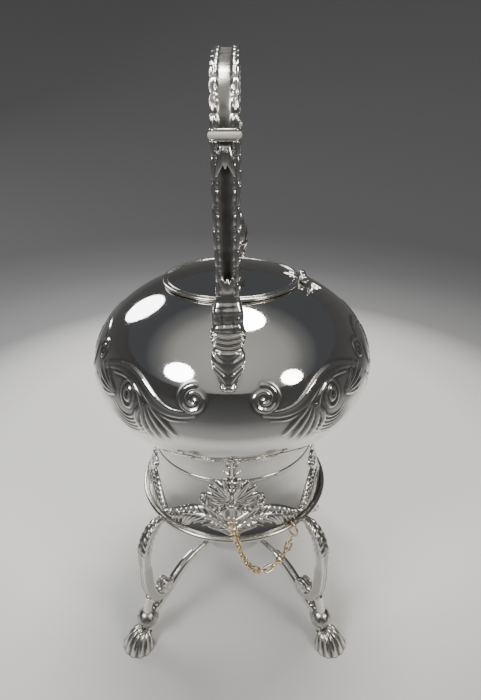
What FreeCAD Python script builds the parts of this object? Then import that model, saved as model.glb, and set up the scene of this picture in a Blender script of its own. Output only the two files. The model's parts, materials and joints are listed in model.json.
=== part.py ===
import FreeCAD, Part
import math
import os

# A silver spirit kettle that tilts on a four-legged stand with a burner.
# Millimetres. +Z is up, the origin is on the table under the kettle's axis.
# The spout points along +Y, the handle lies in the YZ plane, and the lid opens towards +X.

# Driving dimensions: the kettle
BODY_RADIUS = 101.0
BODY_HALF_HEIGHT = 66.0
BODY_CENTRE_Z = 228.0
SHEET = 1.2
SIDE_BOSS_PROUD = 2.4
MOUTH_RADIUS = 43.5
LID_RADIUS = 47.0
LID_GAP = 0.4
LID_BEAD = 1.2
LID_HINGE_X = 50.9
LID_HINGE_Z = 288.4
FINIAL_TOP_Z = 340.0
# The spout's centre line rises from the body in a swan neck: (y, z, outer radius, rise in degrees)
SPOUT_ROOT_Z = 212.0
SPOUT_SECTIONS = [
    (88.0, SPOUT_ROOT_Z, 16.0, 0.0),
    (103.0, 214.0, 13.0, 15.0),
    (117.0, 222.0, 10.5, 42.0),
    (126.0, 236.0, 9.0, 62.0),
    (132.0, 252.0, 8.0, 66.0),
    (140.0, 266.0, 7.4, 52.0),
    (151.0, 277.0, 7.0, 38.0),
]

# Driving dimensions: the handle
HANDLE_RADIUS = 80.0
HANDLE_WIDTH = 14.5
HANDLE_THICKNESS = 7.0
MOUNT_WIDTH = 19.0
MOUNT_BOTTOM_Z = 253.0
MOUNT_TOP_Z = 304.0
ARM_TOP_Z = 382.0
INSULATOR_HEIGHT = 3.0
TENON = 2.0
TENON_DEPTH = 8.0
GRIP_CORNER_RADIUS = 30.0
GRIP_RISE_DEG = 20.0

# Driving dimensions: the stand
RING_RADIUS = 75.0
RING_Z = 113.0
RING_WIRE = 2.0
APRON_BOTTOM_Z = 113.6
APRON_CREASE_Z = 158.0
APRON_TOP_Z = 176.2
APRON_BOTTOM_RADIUS = 73.4
APRON_CREASE_RADIUS = 64.5
APRON_TOP_RADIUS = 65.5
LEG_ANGLES = {"back_right": -45.0, "front_right": 45.0, "front_left": 135.0, "back_left": 225.0}
LEG_TUBE = 4.6
BRACE_TUBE = 3.6
BAR_TUBE = 2.4
KNEE_RADIUS = 8.0
FOOT_RADIUS_AT = 112.0
FOOT_SIZE = 13.5
FOOT_HEIGHT = 15.0

# Driving dimensions: hinge, lock and burner
TILT_Y = 74.0
TILT_Z = 173.0
TILT_PIN = 1.6
RUNNING_GAP = 0.05
CLEAR_GAP = 0.35
LOCK_Z = 156.0
LOCK_PIN = 1.6
LUG_Y = -58.0
BURNER_RADIUS = 38.5
BURNER_BOTTOM_Z = 59.0
BURNER_SPIGOT = 27.5
BURNER_RING_RADIUS = 34.0
SNUFFER_X = 10.2
SNUFFER_PIN = 0.85
CHAIN_LINKS = 18
LINK_LENGTH = 8.5
LINK_WIDTH = 5.2
LINK_WIRE = 0.6
LINK_PITCH = 6.0
CHAIN_ANGLE = -54.0

UP = FreeCAD.Vector(0, 0, 1)
ORIGIN = FreeCAD.Vector(0, 0, 0)
os.makedirs("parts", exist_ok=True)


def point(x, y, z):
    return FreeCAD.Vector(x, y, z)


def save(name, shape):
    if shape.ShapeType == "Compound" and len(shape.Solids) == 1:
        shape = shape.Solids[0]
    if not shape.isValid():
        print("not valid:", name)
    shape.exportStep("parts/" + name + ".step")


def turned(outline):
    """A solid of revolution about Z from (radius, height) corners."""
    corners = [point(r, 0, z) for r, z in outline]
    face = Part.Face(Part.makePolygon(corners + corners[:1]))
    return face.revolve(ORIGIN, UP, 360)


def round_turned(spans):
    """A solid of revolution from spans of three (radius, height) points: start, middle, end."""
    edges = []
    for start, middle, end in spans:
        a, b, c = [point(r, 0, z) for r, z in (start, middle, end)]
        edges.append(Part.Arc(a, b, c).toShape())
    first = edges[0].valueAt(edges[0].FirstParameter)
    last = edges[-1].valueAt(edges[-1].LastParameter)
    if (first - last).Length > 1e-6:
        low = point(0, 0, last.z)
        high = point(0, 0, first.z)
        edges.append(Part.makeLine(last, low))
        edges.append(Part.makeLine(low, high))
        edges.append(Part.makeLine(high, first))
    return Part.Face(Part.Wire(edges)).revolve(ORIGIN, UP, 360)


def body_form(grow):
    """The kettle's ellipsoid, grown outwards by a distance, as a solid."""
    centre = point(0, 0, BODY_CENTRE_Z)
    side = point(BODY_RADIUS + grow, 0, BODY_CENTRE_Z)
    top = point(0, 0, BODY_CENTRE_Z + BODY_HALF_HEIGHT + grow)
    ellipse = Part.Ellipse(side, top, centre)
    arc = Part.ArcOfEllipse(ellipse, -math.pi / 2, math.pi / 2).toShape()
    low = point(0, 0, BODY_CENTRE_Z - BODY_HALF_HEIGHT - grow)
    face = Part.Face(Part.Wire([arc, Part.makeLine(top, low)]))
    return face.revolve(ORIGIN, UP, 360)


def body_height(radius, grow=0.0):
    """Height of the grown ellipsoid's upper surface above its centre plane, at a radius."""
    return (BODY_HALF_HEIGHT + grow) * math.sqrt(1 - (radius / (BODY_RADIUS + grow)) ** 2)


def rod(start, end, radius):
    along = end - start
    return Part.makeCylinder(radius, along.Length, start, along)


def tube_ring(radius, wire, z):
    return Part.makeTorus(radius, wire, point(0, 0, z), UP)


def bent_rod(points, bends, radius):
    """A round rod along straight runs joined by tangent arcs; one bend radius per inner point."""
    edges = []
    here = points[0]
    for before, corner, after, bend in zip(points, points[1:], points[2:], bends):
        back = (before - corner).normalize()
        on = (after - corner).normalize()
        half = back.getAngle(on) / 2
        trim = bend / math.tan(half)
        start = corner + back * trim
        end = corner + on * trim
        inward = (back + on).normalize()
        middle = corner + inward * (bend / math.sin(half) - bend)
        edges.append(Part.makeLine(here, start))
        edges.append(Part.Arc(start, middle, end).toShape())
        here = end
    edges.append(Part.makeLine(here, points[-1]))
    path = Part.Wire(edges)
    section = Part.Wire(Part.makeCircle(radius, points[0], points[1] - points[0]))
    return path.makePipeShell([section], True, False)


def turned_round(shape, degrees):
    copy = shape.copy()
    copy.rotate(ORIGIN, UP, degrees)
    return copy


def leaf_plate(outline, grow, thick, face_on):
    """A cast leaf that hugs the kettle: a flat outline cut from a shell just outside the body."""
    corners = [face_on(u, v) for u, v in outline]
    face = Part.Face(Part.makePolygon(corners + corners[:1]))
    normal = face.normalAt(0, 0)
    prism = face.extrude(normal * 60).fuse(face.extrude(normal * -60))
    return prism.common(body_form(grow + thick)).cut(body_form(grow))


# --- Kettle ---

def kettle_body():
    outer = body_form(0)
    boss_x = BODY_RADIUS + SIDE_BOSS_PROUD - 12
    for side in (-1, 1):
        boss = Part.makeSphere(12, point(side * boss_x, 0, BODY_CENTRE_Z + 6))
        outer = outer.fuse(boss)
    shell = outer.cut(body_form(-SHEET))
    shell = shell.cut(Part.makeCylinder(MOUTH_RADIUS, 60, point(0, 0, BODY_CENTRE_Z + 40)))
    for row in range(-1, 2):
        for column in range(-1, 2):
            hole_at = point(column * 5.0, BODY_RADIUS - 20, SPOUT_ROOT_Z + row * 5.0)
            shell = shell.cut(Part.makeCylinder(1.5, 30, hole_at, point(0, 1, 0)))
    return shell


def mouth_collar():
    top = BODY_CENTRE_Z + body_height(MOUTH_RADIUS) - 0.3
    return turned([(41.6, top - 7), (MOUTH_RADIUS, top - 7), (MOUTH_RADIUS, top), (41.6, top)]).cut(
        body_form(0).cut(body_form(-SHEET)).cut(Part.makeCylinder(MOUTH_RADIUS, 80, point(0, 0, 250))))


def spout_form(shrink, stretch):
    rings = []
    for y, z, radius, rise in SPOUT_SECTIONS:
        heading = point(0, math.cos(math.radians(rise)), math.sin(math.radians(rise)))
        rings.append(Part.Wire(Part.makeCircle(radius - shrink, point(0, y, z), heading)))
    if stretch:
        y, z, radius, rise = SPOUT_SECTIONS[-1]
        heading = point(0, math.cos(math.radians(rise)), math.sin(math.radians(rise)))
        beyond = point(0, y, z) + heading * stretch
        rings.append(Part.Wire(Part.makeCircle(radius - shrink, beyond, heading)))
    return Part.makeLoft(rings, True, False)


def spout():
    return spout_form(0, 0).cut(spout_form(SHEET, 3.0)).cut(body_form(0))


def tilt_lug():
    """The kettle's middle hinge knuckle and the strap that joins it to the underside."""
    knuckle = Part.makeCylinder(4.0, 11.0, point(-5.5, TILT_Y, TILT_Z), point(1, 0, 0))
    strap = Part.makeBox(11.0, 7.0, 16.0, point(-5.5, TILT_Y - 3.0, TILT_Z))
    bore = Part.makeCylinder(TILT_PIN + RUNNING_GAP, 20, point(-10, TILT_Y, TILT_Z), point(1, 0, 0))
    return knuckle.fuse(strap).cut(body_form(0)).cut(bore)


def lock_lug():
    """A tongue under the kettle with the hole that the locking pin enters."""
    tongue = Part.makeBox(12.0, 4.0, 55.0, point(-6.0, LUG_Y, LOCK_Z - 7.0))
    hole = Part.makeCylinder(LOCK_PIN + CLEAR_GAP, 12, point(0, LUG_Y - 4, LOCK_Z), point(0, 1, 0))
    return tongue.cut(body_form(0)).cut(hole)


# --- Handle: both sides are the same, mirrored in the XZ plane ---

def front_back(shape):
    mirrored = shape.mirror(ORIGIN, point(0, 1, 0))
    return {"rear": shape, "front": mirrored}


def handle_mount():
    """A cast socket that stands on the body's shoulder."""
    outline = [
        (-97.0, MOUNT_BOTTOM_Z),
        (-99.0, 260.0),
        (-93.0, 284.0),
        (-88.0, MOUNT_TOP_Z),
        (-76.0, MOUNT_TOP_Z),
        (-72.0, 284.0),
        (-60.0, 262.0),
    ]
    corners = [point(-MOUNT_WIDTH / 2, y, z) for y, z in outline]
    face = Part.Face(Part.makePolygon(corners + corners[:1]))
    return face.extrude(point(MOUNT_WIDTH, 0, 0)).cut(body_form(0))


def strap(bottom, top, width, thickness):
    box = Part.makeBox(width, thickness, top - bottom)
    box.translate(point(-width / 2, -HANDLE_RADIUS - thickness / 2, bottom))
    return box.makeFillet(1.8, [e for e in box.Edges if abs(e.tangentAt(0).z) > 0.9])


GRIP_START_Z = ARM_TOP_Z + INSULATOR_HEIGHT


def handle_grip():
    """An arch: a straight start, a corner arc and a long shallow arc over the lid."""
    rise = math.radians(GRIP_RISE_DEG)
    start = point(0, -HANDLE_RADIUS, GRIP_START_Z)
    corner = point(0, -HANDLE_RADIUS + GRIP_CORNER_RADIUS, GRIP_START_Z)

    def on_corner(degrees):
        turn = math.radians(degrees)
        return corner + point(0, math.cos(turn), math.sin(turn)) * GRIP_CORNER_RADIUS

    shoulder = on_corner(90 + GRIP_RISE_DEG)
    arch_radius = -shoulder.y / math.sin(rise)
    crown = point(0, 0, shoulder.z + arch_radius * (1 - math.cos(rise)))
    far = point(0, -shoulder.y, shoulder.z)
    halfway = on_corner(135 + GRIP_RISE_DEG / 2)
    edges = [
        Part.Arc(start, halfway, shoulder).toShape(),
        Part.Arc(shoulder, crown, far).toShape(),
        Part.Arc(far, point(0, -halfway.y, halfway.z), point(0, -start.y, start.z)).toShape(),
    ]
    half_w = HANDLE_WIDTH / 2
    half_t = HANDLE_THICKNESS / 2
    low = [point(x, -HANDLE_RADIUS + y, GRIP_START_Z)
           for x, y in ((-half_w, -half_t), (half_w, -half_t), (half_w, half_t), (-half_w, half_t))]
    section = Part.makePolygon(low + low[:1])
    arch = Part.Wire(edges).makePipeShell([section], True, False)
    for joint in front_back(tenon(0)).values():
        arch = arch.fuse(joint)
    for pin in front_back(cross_pin()).values():
        arch = arch.cut(pin)
    return arch


def tenon(grow):
    """The round tenon that joins the grip to an arm through the heat break."""
    bottom = point(0, -HANDLE_RADIUS, ARM_TOP_Z - TENON_DEPTH - grow)
    return Part.makeCylinder(TENON + grow, TENON_DEPTH + 8, bottom, UP)


def cross_pin():
    start = point(-HANDLE_WIDTH / 2, -HANDLE_RADIUS, ARM_TOP_Z - TENON_DEPTH / 2)
    return Part.makeCylinder(0.9, HANDLE_WIDTH, start, point(1, 0, 0))


def handle_arm():
    arm = strap(MOUNT_TOP_Z, ARM_TOP_Z, HANDLE_WIDTH, HANDLE_THICKNESS)
    return arm.cut(tenon(RUNNING_GAP)).cut(cross_pin())


def handle_insulator():
    washer = strap(ARM_TOP_Z, GRIP_START_Z, HANDLE_WIDTH + 2.0, HANDLE_THICKNESS + 3.0)
    return washer.cut(tenon(RUNNING_GAP))


# --- Lid ---

def lid_dome():
    inner = body_form(LID_GAP)
    dome = body_form(LID_GAP + SHEET).cut(inner)
    dome = dome.common(Part.makeCylinder(LID_RADIUS - 0.8, 60, point(0, 0, BODY_CENTRE_Z + 40)))
    return dome.cut(lid_rim()).cut(Part.makeCylinder(1.6, 40, point(0, 0, 280)))


def lid_rim():
    z = BODY_CENTRE_Z + body_height(LID_RADIUS) + LID_GAP + LID_BEAD
    return tube_ring(LID_RADIUS, LID_BEAD, z)


def lid_flange():
    ring = turned([(40.3, 280.5), (41.2, 280.5), (41.2, 292.0), (40.3, 292.0)])
    return ring.common(body_form(LID_GAP))


def knuckle(y_from, y_to):
    axis = point(0, 1, 0)
    at = point(LID_HINGE_X, y_from, LID_HINGE_Z)
    return Part.makeCylinder(2.3, y_to - y_from, at, axis)


def pin_hole():
    at = point(LID_HINGE_X, -15, LID_HINGE_Z)
    return Part.makeCylinder(1.0 + RUNNING_GAP, 30, at, point(0, 1, 0))


def seen_from_above(x, y):
    return point(x, y, BODY_CENTRE_Z + 60)


def hinge_body_leaf():
    """The fixed, pointed leaf of the lid hinge, with its two outer knuckles."""
    outline = [(51.4, -24), (54, -16), (54.5, -7), (58.5, -2), (64, 0), (58.5, 2), (54.5, 7), (54, 16), (51.4, 24)]
    leaf = leaf_plate(outline, 0, 2.2, seen_from_above)
    room = Part.makeCylinder(2.3 + CLEAR_GAP, 8, point(LID_HINGE_X, -4, LID_HINGE_Z), point(0, 1, 0))
    return leaf.cut(room).fuse(knuckle(-9, -4)).fuse(knuckle(4, 9)).cut(body_form(0)).cut(pin_hole())


def hinge_lid_leaf():
    """The moving leaf, soldered to the lid, with the middle knuckle."""
    outline = [(36, 0), (42, -4.2), (49.5, -3.4), (49.5, 3.4), (42, 4.2)]
    leaf = leaf_plate(outline, LID_GAP + SHEET, 1.2, seen_from_above)
    middle = knuckle(-3.7, 3.7)
    return leaf.fuse(middle).cut(lid_rim()).cut(pin_hole())


CROWN_Z = BODY_CENTRE_Z + BODY_HALF_HEIGHT + LID_GAP + SHEET


def finial_calyx():
    profile = [(0, CROWN_Z), (6, CROWN_Z), (6.5, 297.4), (3.4, 299.5), (3.6, 302), (8, 305), (12, 311.5), (11.5, 314), (0, 314)]
    foot = turned(profile)
    return foot.cut(body_form(LID_GAP + SHEET)).cut(Part.makeCylinder(1.6, 60, point(0, 0, 280)))


def finial_bud():
    """A fluted bud with the screwed stud that holds the finial down through the lid."""
    bud = round_turned([((4.0, FINIAL_TOP_Z), (11.2, 325), (10.5, 314))])
    for turn in range(10):
        flute = Part.makeCylinder(1.6, 26, point(12.4, 0, 315), point(-4.5, 0, 25))
        bud = bud.cut(turned_round(flute, turn * 36))
    return bud.fuse(Part.makeCylinder(1.55, 27, point(0, 0, BODY_CENTRE_Z + BODY_HALF_HEIGHT - 4)))


def finial_nut():
    top = BODY_CENTRE_Z + BODY_HALF_HEIGHT + LID_GAP
    nut = Part.makeCylinder(5, 2.4, point(0, 0, top - 3.2))
    return nut.cut(Part.makeCylinder(1.6, 10, point(0, 0, top - 6)))


# --- Stand ---

def apron():
    wall = 1.2
    outer = [
        (APRON_BOTTOM_RADIUS, APRON_BOTTOM_Z),
        (APRON_CREASE_RADIUS + 1.5, 134.0),
        (APRON_CREASE_RADIUS - 1.0, APRON_CREASE_Z),
        (APRON_TOP_RADIUS, APRON_TOP_Z),
    ]
    inner = [(r - wall, z) for r, z in reversed(outer)]
    skirt = turned(outer + inner)
    hole = Part.makeCylinder(LOCK_PIN + CLEAR_GAP, 20, point(0, -76, LOCK_Z), point(0, 1, 0))
    return skirt.cut(hole).cut(tube_ring(RING_RADIUS, RING_WIRE, RING_Z)).cut(chain_anchor(0.8 + CLEAR_GAP))


def apron_radius(z):
    """Radius of the apron's outer face at a height."""
    stops = [
        (APRON_BOTTOM_Z, APRON_BOTTOM_RADIUS),
        (134.0, APRON_CREASE_RADIUS + 1.5),
        (APRON_CREASE_Z, APRON_CREASE_RADIUS - 1.0),
        (APRON_TOP_Z, APRON_TOP_RADIUS),
    ]
    for (z0, r0), (z1, r1) in zip(stops, stops[1:]):
        if z <= z1:
            return r0 + (r1 - r0) * (z - z0) / (z1 - z0)
    return APRON_TOP_RADIUS


def apron_skin(grow):
    levels = [APRON_BOTTOM_Z, 134.0, APRON_CREASE_Z, APRON_TOP_Z]
    outline = [(apron_radius(z) + grow, z) for z in levels]
    return turned(outline + [(0, APRON_TOP_Z), (0, APRON_BOTTOM_Z)])


def apron_leaf():
    """A cast acanthus spray on the apron's back: a narrow stem, a fan and two long low branches."""
    outline = [(-46, 121), (-30, 133), (-17, 137), (-11, 151), (-4, 156), (-3.5, 170)]
    outline = outline + [(-u, z) for u, z in reversed(outline)]
    outline = outline + [(12, 117), (-12, 117)]
    corners = [point(u, -90, z) for u, z in outline]
    face = Part.Face(Part.makePolygon(corners + corners[:1]))
    return face.extrude(point(0, 60, 0)).common(apron_skin(2.4)).cut(apron_skin(0))


def in_leg_plane(pairs):
    return [point(r, 0, z) for r, z in pairs]


def leg():
    """A C-scroll leg from the wire ring down to a rolled end, with its knee ball."""
    line = in_leg_plane([(78.2, 110.4), (95.0, 100.0), (96.5, 66.0), (95.0, 38.0), (81.0, 38.0)])
    scroll = bent_rod(line, [7.0, 20.0, 7.0], LEG_TUBE)
    volute = Part.makeCylinder(6.5, 8.0, point(82.0, -4.0, 39.0), point(0, 1, 0))
    knee = Part.makeSphere(KNEE_RADIUS, point(100.0, 0, 21.6))
    shank = rod(point(95.0, 0, 37.0), point(100.0, 0, 22.0), LEG_TUBE)
    whole = scroll.fuse(volute).fuse(shank).fuse(knee)
    return whole.cut(tube_ring(RING_RADIUS, RING_WIRE, RING_Z)).removeSplitter()


def shell_foot():
    """A scallop shell: a domed fan, wider than it is tall, that stands on its flat underside."""
    dome = Part.makeSphere(1.0)
    stretch = FreeCAD.Matrix()
    stretch.scale(FOOT_SIZE, FOOT_SIZE, FOOT_HEIGHT)
    dome = dome.transformGeometry(stretch)
    dome.translate(point(FOOT_RADIUS_AT, 0, 0))
    ankle = rod(point(101.5, 0, 20.0), point(FOOT_RADIUS_AT - 3.0, 0, 5.0), 5.5)
    below = Part.makeBox(80, 80, 40, point(FOOT_RADIUS_AT - 40, -40, -40))
    return dome.fuse(ankle).cut(below).cut(LEG_SOLID)


BAR_JOINT = (48.0, 54.6)


def brace():
    """The strut from the knee inwards, ending in a cut-off sleeve for the burner bar."""
    line = in_leg_plane([(94.5, 25.5), (74.0, 38.0), (64.0, 50.0), BAR_JOINT])
    strut = bent_rod(line, [9.0, 9.0], BRACE_TUBE)
    return strut.cut(LEG_SOLID).cut(burner_bar())


def burner_bar():
    outer = point(54.0, 0, 53.3)
    inner = point(BURNER_RING_RADIUS - 2, 0, BURNER_BOTTOM_Z - 2.5)
    return rod(outer, inner, BAR_TUBE).cut(BURNER_RING_SOLID)


def burner_ring():
    """The flat ring that the four bars carry and the burner stands on."""
    low = BURNER_BOTTOM_Z - 4.5
    corners = [(BURNER_SPIGOT + 0.5, low), (BURNER_RING_RADIUS, low)]
    corners += [(BURNER_RING_RADIUS, BURNER_BOTTOM_Z - 0.02), (BURNER_SPIGOT + 0.5, BURNER_BOTTOM_Z - 0.02)]
    return turned(corners)


def tilt_bracket():
    """Two knuckles on the front of the apron that hold the tilting pin."""
    cheeks = []
    for x in (-11.5, 6.0):
        cheek = Part.makeCylinder(4.0, 5.5, point(x, TILT_Y, TILT_Z), point(1, 0, 0))
        arm = Part.makeBox(5.5, 12.0, 15.0, point(x, TILT_Y - 12.0, TILT_Z - 15.0))
        cheeks.append(cheek.fuse(arm))
    both = cheeks[0].fuse(cheeks[1])
    bore = Part.makeCylinder(TILT_PIN, 40, point(-20, TILT_Y, TILT_Z), point(1, 0, 0))
    return both.cut(apron_skin(0)).cut(body_form(1.0)).cut(bore)


def tilt_pin():
    shank = Part.makeCylinder(TILT_PIN, 27.0, point(-13.5, TILT_Y, TILT_Z), point(1, 0, 0))
    heads = [Part.makeSphere(2.6, point(x, TILT_Y, TILT_Z)) for x in (-14.0, 14.0)]
    return shank.fuse(heads[0]).fuse(heads[1])


def guide_boss():
    return Part.makeCylinder(4.2, 11.0, point(0, -73.5, LOCK_Z), point(0, 1, 0))


def lock_guide():
    """The boss on the back of the apron that the locking pin slides in."""
    boss = guide_boss()
    bore = Part.makeCylinder(LOCK_PIN + RUNNING_GAP, 30, point(0, -85, LOCK_Z), point(0, 1, 0))
    return boss.cut(apron_skin(0)).cut(bore)


def lock_pin():
    tip_y = LUG_Y - 1.0
    shank = Part.makeCylinder(LOCK_PIN, 26.0, point(0, tip_y - 26.0, LOCK_Z), point(0, 1, 0))
    head = Part.makeCylinder(2.6, 4.0, point(0, tip_y - 29.0, LOCK_Z), point(0, 1, 0))
    eye = Part.makeCylinder(1.5, 10, point(-5, tip_y - 27.0, LOCK_Z), point(1, 0, 0))
    return shank.fuse(head).cut(eye)


def lock_pin_ring():
    centre = point(0, LUG_Y - 28.0, LOCK_Z - 5.4)
    return Part.makeTorus(5.4, 0.8, centre, point(0, 1, 0))


def anchor_point(out, down):
    """A point below the wire ring, at the chain's place round the stand."""
    turn = math.radians(CHAIN_ANGLE)
    return point(math.cos(turn), math.sin(turn), 0) * (RING_RADIUS + out) + point(0, 0, RING_Z - down)


def chain_anchor(wire=0.8):
    """The jump ring that hangs from the stand's wire ring and holds the chain's end."""
    turn = math.radians(CHAIN_ANGLE)
    across = point(-math.sin(turn), math.cos(turn), 0)
    return Part.makeTorus(5.6, wire, anchor_point(1.2, 2.4), across)


def chain_link():
    """An oval link along X, lying in the XY plane."""
    straight = LINK_LENGTH - LINK_WIDTH
    bend = LINK_WIDTH / 2 - LINK_WIRE
    link = None
    for end in (-1, 1):
        side = rod(point(-straight / 2, end * bend, 0), point(straight / 2, end * bend, 0), LINK_WIRE)
        arc = Part.makeTorus(bend, LINK_WIRE, ORIGIN, UP, -180, 180, 180)
        arc.rotate(ORIGIN, UP, -90 if end > 0 else 90)
        arc.translate(point(end * straight / 2, 0, 0))
        link = side.fuse(arc) if link is None else link.fuse(side).fuse(arc)
    return link.removeSplitter()


def lock_chain():
    """The safety chain, hanging in a catenary between the pull ring and the jump ring."""
    start = point(0, LUG_Y - 28.0, LOCK_Z - 13.0)
    end = anchor_point(1.6, 10.2)
    flat = point(end.x - start.x, end.y - start.y, 0)
    span = flat.Length
    drop = start.z - end.z
    length = LINK_PITCH * CHAIN_LINKS
    target = math.sqrt(length ** 2 - drop ** 2) / span
    low, high = 0.01, 20.0
    for step in range(60):
        middle = (low + high) / 2
        if math.sinh(middle) / middle < target:
            low = middle
        else:
            high = middle
    scale = span / (2 * low)
    lowest = span / 2 + scale * math.asinh(drop / (2 * scale * math.sinh(low)))
    links = []
    flat.normalize()
    for number in range(CHAIN_LINKS):
        along = (number + 0.5) * LINK_PITCH
        run = along - scale * math.sinh(lowest / scale)
        u = lowest + scale * math.asinh(run / scale)
        z = scale * (math.cosh((u - lowest) / scale) - math.cosh(lowest / scale))
        slope = math.atan(math.sinh((u - lowest) / scale))
        link = chain_link()
        link.rotate(ORIGIN, point(1, 0, 0), 45 + 90 * (number % 2))
        link.rotate(ORIGIN, point(0, 1, 0), -math.degrees(slope))
        link.rotate(ORIGIN, UP, math.degrees(math.atan2(flat.y, flat.x)))
        link.translate(start + flat * u + point(0, 0, z))
        links.append(link)
    return Part.makeCompound(links)


# --- Burner ---

def burner_reservoir():
    z = BURNER_BOTTOM_Z
    outer = [(0, z - 3), (BURNER_SPIGOT, z - 3), (BURNER_SPIGOT, z), (33, z), (BURNER_RADIUS, z + 5), (BURNER_RADIUS, z + 15), (28, z + 21), (13, z + 22), (13, z + 26)]
    inner = [(12, z + 26), (12, z + 21), (27, z + 20), (BURNER_RADIUS - 1, z + 14.4), (BURNER_RADIUS - 1, z + 5.6), (32.5, z + 1), (0, z + 1)]
    return turned(outer + inner)


def burner_top():
    z = BURNER_BOTTOM_Z
    profile = [(5.1, z + 26), (14.5, z + 26), (14.5, z + 29), (8.5, z + 31), (8.5, z + 38), (5.1, z + 38)]
    ears = Part.makeBox(4, 5, 6, point(8.0, -2.5, z + 30))
    hole = Part.makeCylinder(SNUFFER_PIN + RUNNING_GAP, 20, point(SNUFFER_X, -10, z + 34), point(0, 1, 0))
    return turned(profile).fuse(ears).cut(hole).cut(Part.makeCylinder(5.1, 40, point(0, 0, z + 10)))


def burner_wick():
    return Part.makeCylinder(5.0, 36.0, point(0, 0, BURNER_BOTTOM_Z + 4))


def snuffer_cap():
    """A hollow cap that swings over the wick on a small hinge."""
    z = BURNER_BOTTOM_Z + 38.5
    cup = turned([(0, z + 13), (6, z + 12), (9.5, z + 8), (9.5, z), (8.7, z), (8.7, z + 7.6), (5.6, z + 11), (0, z + 12)])
    at_z = BURNER_BOTTOM_Z + 34
    arms = None
    for y in (-4.6, 2.9):
        arm = Part.makeBox(3.3, 1.7, 8.2, point(8.7, y, at_z))
        eye = Part.makeCylinder(1.8, 1.7, point(SNUFFER_X, y, at_z), point(0, 1, 0))
        arms = arm.fuse(eye) if arms is None else arms.fuse(arm).fuse(eye)
    bore = Part.makeCylinder(SNUFFER_PIN + RUNNING_GAP, 20, point(SNUFFER_X, -10, at_z), point(0, 1, 0))
    room = Part.makeCylinder(8.7, 20, point(0, 0, z - 12.4))
    return cup.fuse(arms).cut(bore).cut(room)


def snuffer_pin():
    return Part.makeCylinder(SNUFFER_PIN, 9.4, point(SNUFFER_X, -4.7, BURNER_BOTTOM_Z + 34), point(0, 1, 0))


save("kettle_body", kettle_body())
save("mouth_collar", mouth_collar())
save("spout", spout())
save("tilt_lug", tilt_lug())
save("lock_lug", lock_lug())

for side, shape in front_back(handle_mount()).items():
    save("handle_mount_" + side, shape)
for side, shape in front_back(handle_arm()).items():
    save("handle_arm_" + side, shape)
for side, shape in front_back(handle_insulator()).items():
    save("handle_insulator_" + side, shape)
save("handle_grip", handle_grip())
save("handle_pins", Part.makeCompound(list(front_back(cross_pin()).values())))

save("lid_dome", lid_dome())
save("lid_rim", lid_rim())
save("lid_flange", lid_flange())
save("lid_hinge_leaf", hinge_lid_leaf())
save("body_hinge_leaf", hinge_body_leaf())
save("lid_hinge_pin", Part.makeCylinder(1.0, 19, point(LID_HINGE_X, -9.5, LID_HINGE_Z), point(0, 1, 0)))
save("finial_calyx", finial_calyx())
save("finial_bud", finial_bud())
save("finial_nut", finial_nut())

save("stand_ring", tube_ring(RING_RADIUS, RING_WIRE, RING_Z))
save("apron", apron())
LEAF_SOLID = apron_leaf()
save("apron_leaf_back", LEAF_SOLID.cut(guide_boss()))
for name, angle in {"right": 90, "front": 180, "left": 270}.items():
    save("apron_leaf_" + name, turned_round(LEAF_SOLID, angle))
BURNER_RING_SOLID = burner_ring()
LEG_SOLID = leg()
FOOT_SOLID = shell_foot()
BRACE_SOLID = brace()
for corner, angle in LEG_ANGLES.items():
    save("leg_" + corner, turned_round(LEG_SOLID, angle))
    save("foot_" + corner, turned_round(FOOT_SOLID, angle))
    save("brace_" + corner, turned_round(BRACE_SOLID, angle))
save("burner_ring", BURNER_RING_SOLID)
save("burner_bars", Part.makeCompound([turned_round(burner_bar(), angle) for angle in LEG_ANGLES.values()]))
save("tilt_bracket", tilt_bracket())
save("tilt_pin", tilt_pin())
save("lock_guide", lock_guide())
save("lock_pin", lock_pin())
save("lock_pin_ring", lock_pin_ring())
save("chain_anchor", chain_anchor())
save("lock_chain", lock_chain())

save("burner_reservoir", burner_reservoir())
save("burner_top", burner_top())
save("burner_wick", burner_wick())
save("snuffer_cap", snuffer_cap())
save("snuffer_pin", snuffer_pin())
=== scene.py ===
import math

import bmesh
import bpy
import numpy as np
from mathutils import Matrix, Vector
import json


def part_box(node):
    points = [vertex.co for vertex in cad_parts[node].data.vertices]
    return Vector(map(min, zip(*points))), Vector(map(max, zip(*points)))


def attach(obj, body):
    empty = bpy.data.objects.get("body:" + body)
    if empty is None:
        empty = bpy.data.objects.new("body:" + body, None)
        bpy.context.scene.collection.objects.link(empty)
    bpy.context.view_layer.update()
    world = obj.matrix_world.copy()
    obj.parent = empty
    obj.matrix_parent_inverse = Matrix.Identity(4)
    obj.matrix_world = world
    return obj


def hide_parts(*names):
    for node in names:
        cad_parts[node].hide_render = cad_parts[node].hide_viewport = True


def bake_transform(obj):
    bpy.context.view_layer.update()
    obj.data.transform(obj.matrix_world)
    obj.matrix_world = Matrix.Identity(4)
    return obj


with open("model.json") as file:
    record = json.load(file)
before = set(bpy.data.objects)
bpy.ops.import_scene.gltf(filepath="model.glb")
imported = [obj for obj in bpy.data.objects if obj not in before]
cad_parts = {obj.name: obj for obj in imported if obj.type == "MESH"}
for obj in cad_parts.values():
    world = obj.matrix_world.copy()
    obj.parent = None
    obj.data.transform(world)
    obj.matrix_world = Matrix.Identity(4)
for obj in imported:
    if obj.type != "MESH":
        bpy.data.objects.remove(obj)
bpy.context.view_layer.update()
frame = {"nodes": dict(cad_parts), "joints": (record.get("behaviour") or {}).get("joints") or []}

MM = 0.001
TURN = 2 * math.pi


# ---------------------------------------------------------------------------
# Places, in millimetres, read from the frame
# ---------------------------------------------------------------------------

def low(node):
    return np.array(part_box(node)[0]) / MM


def high(node):
    return np.array(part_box(node)[1]) / MM


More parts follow.
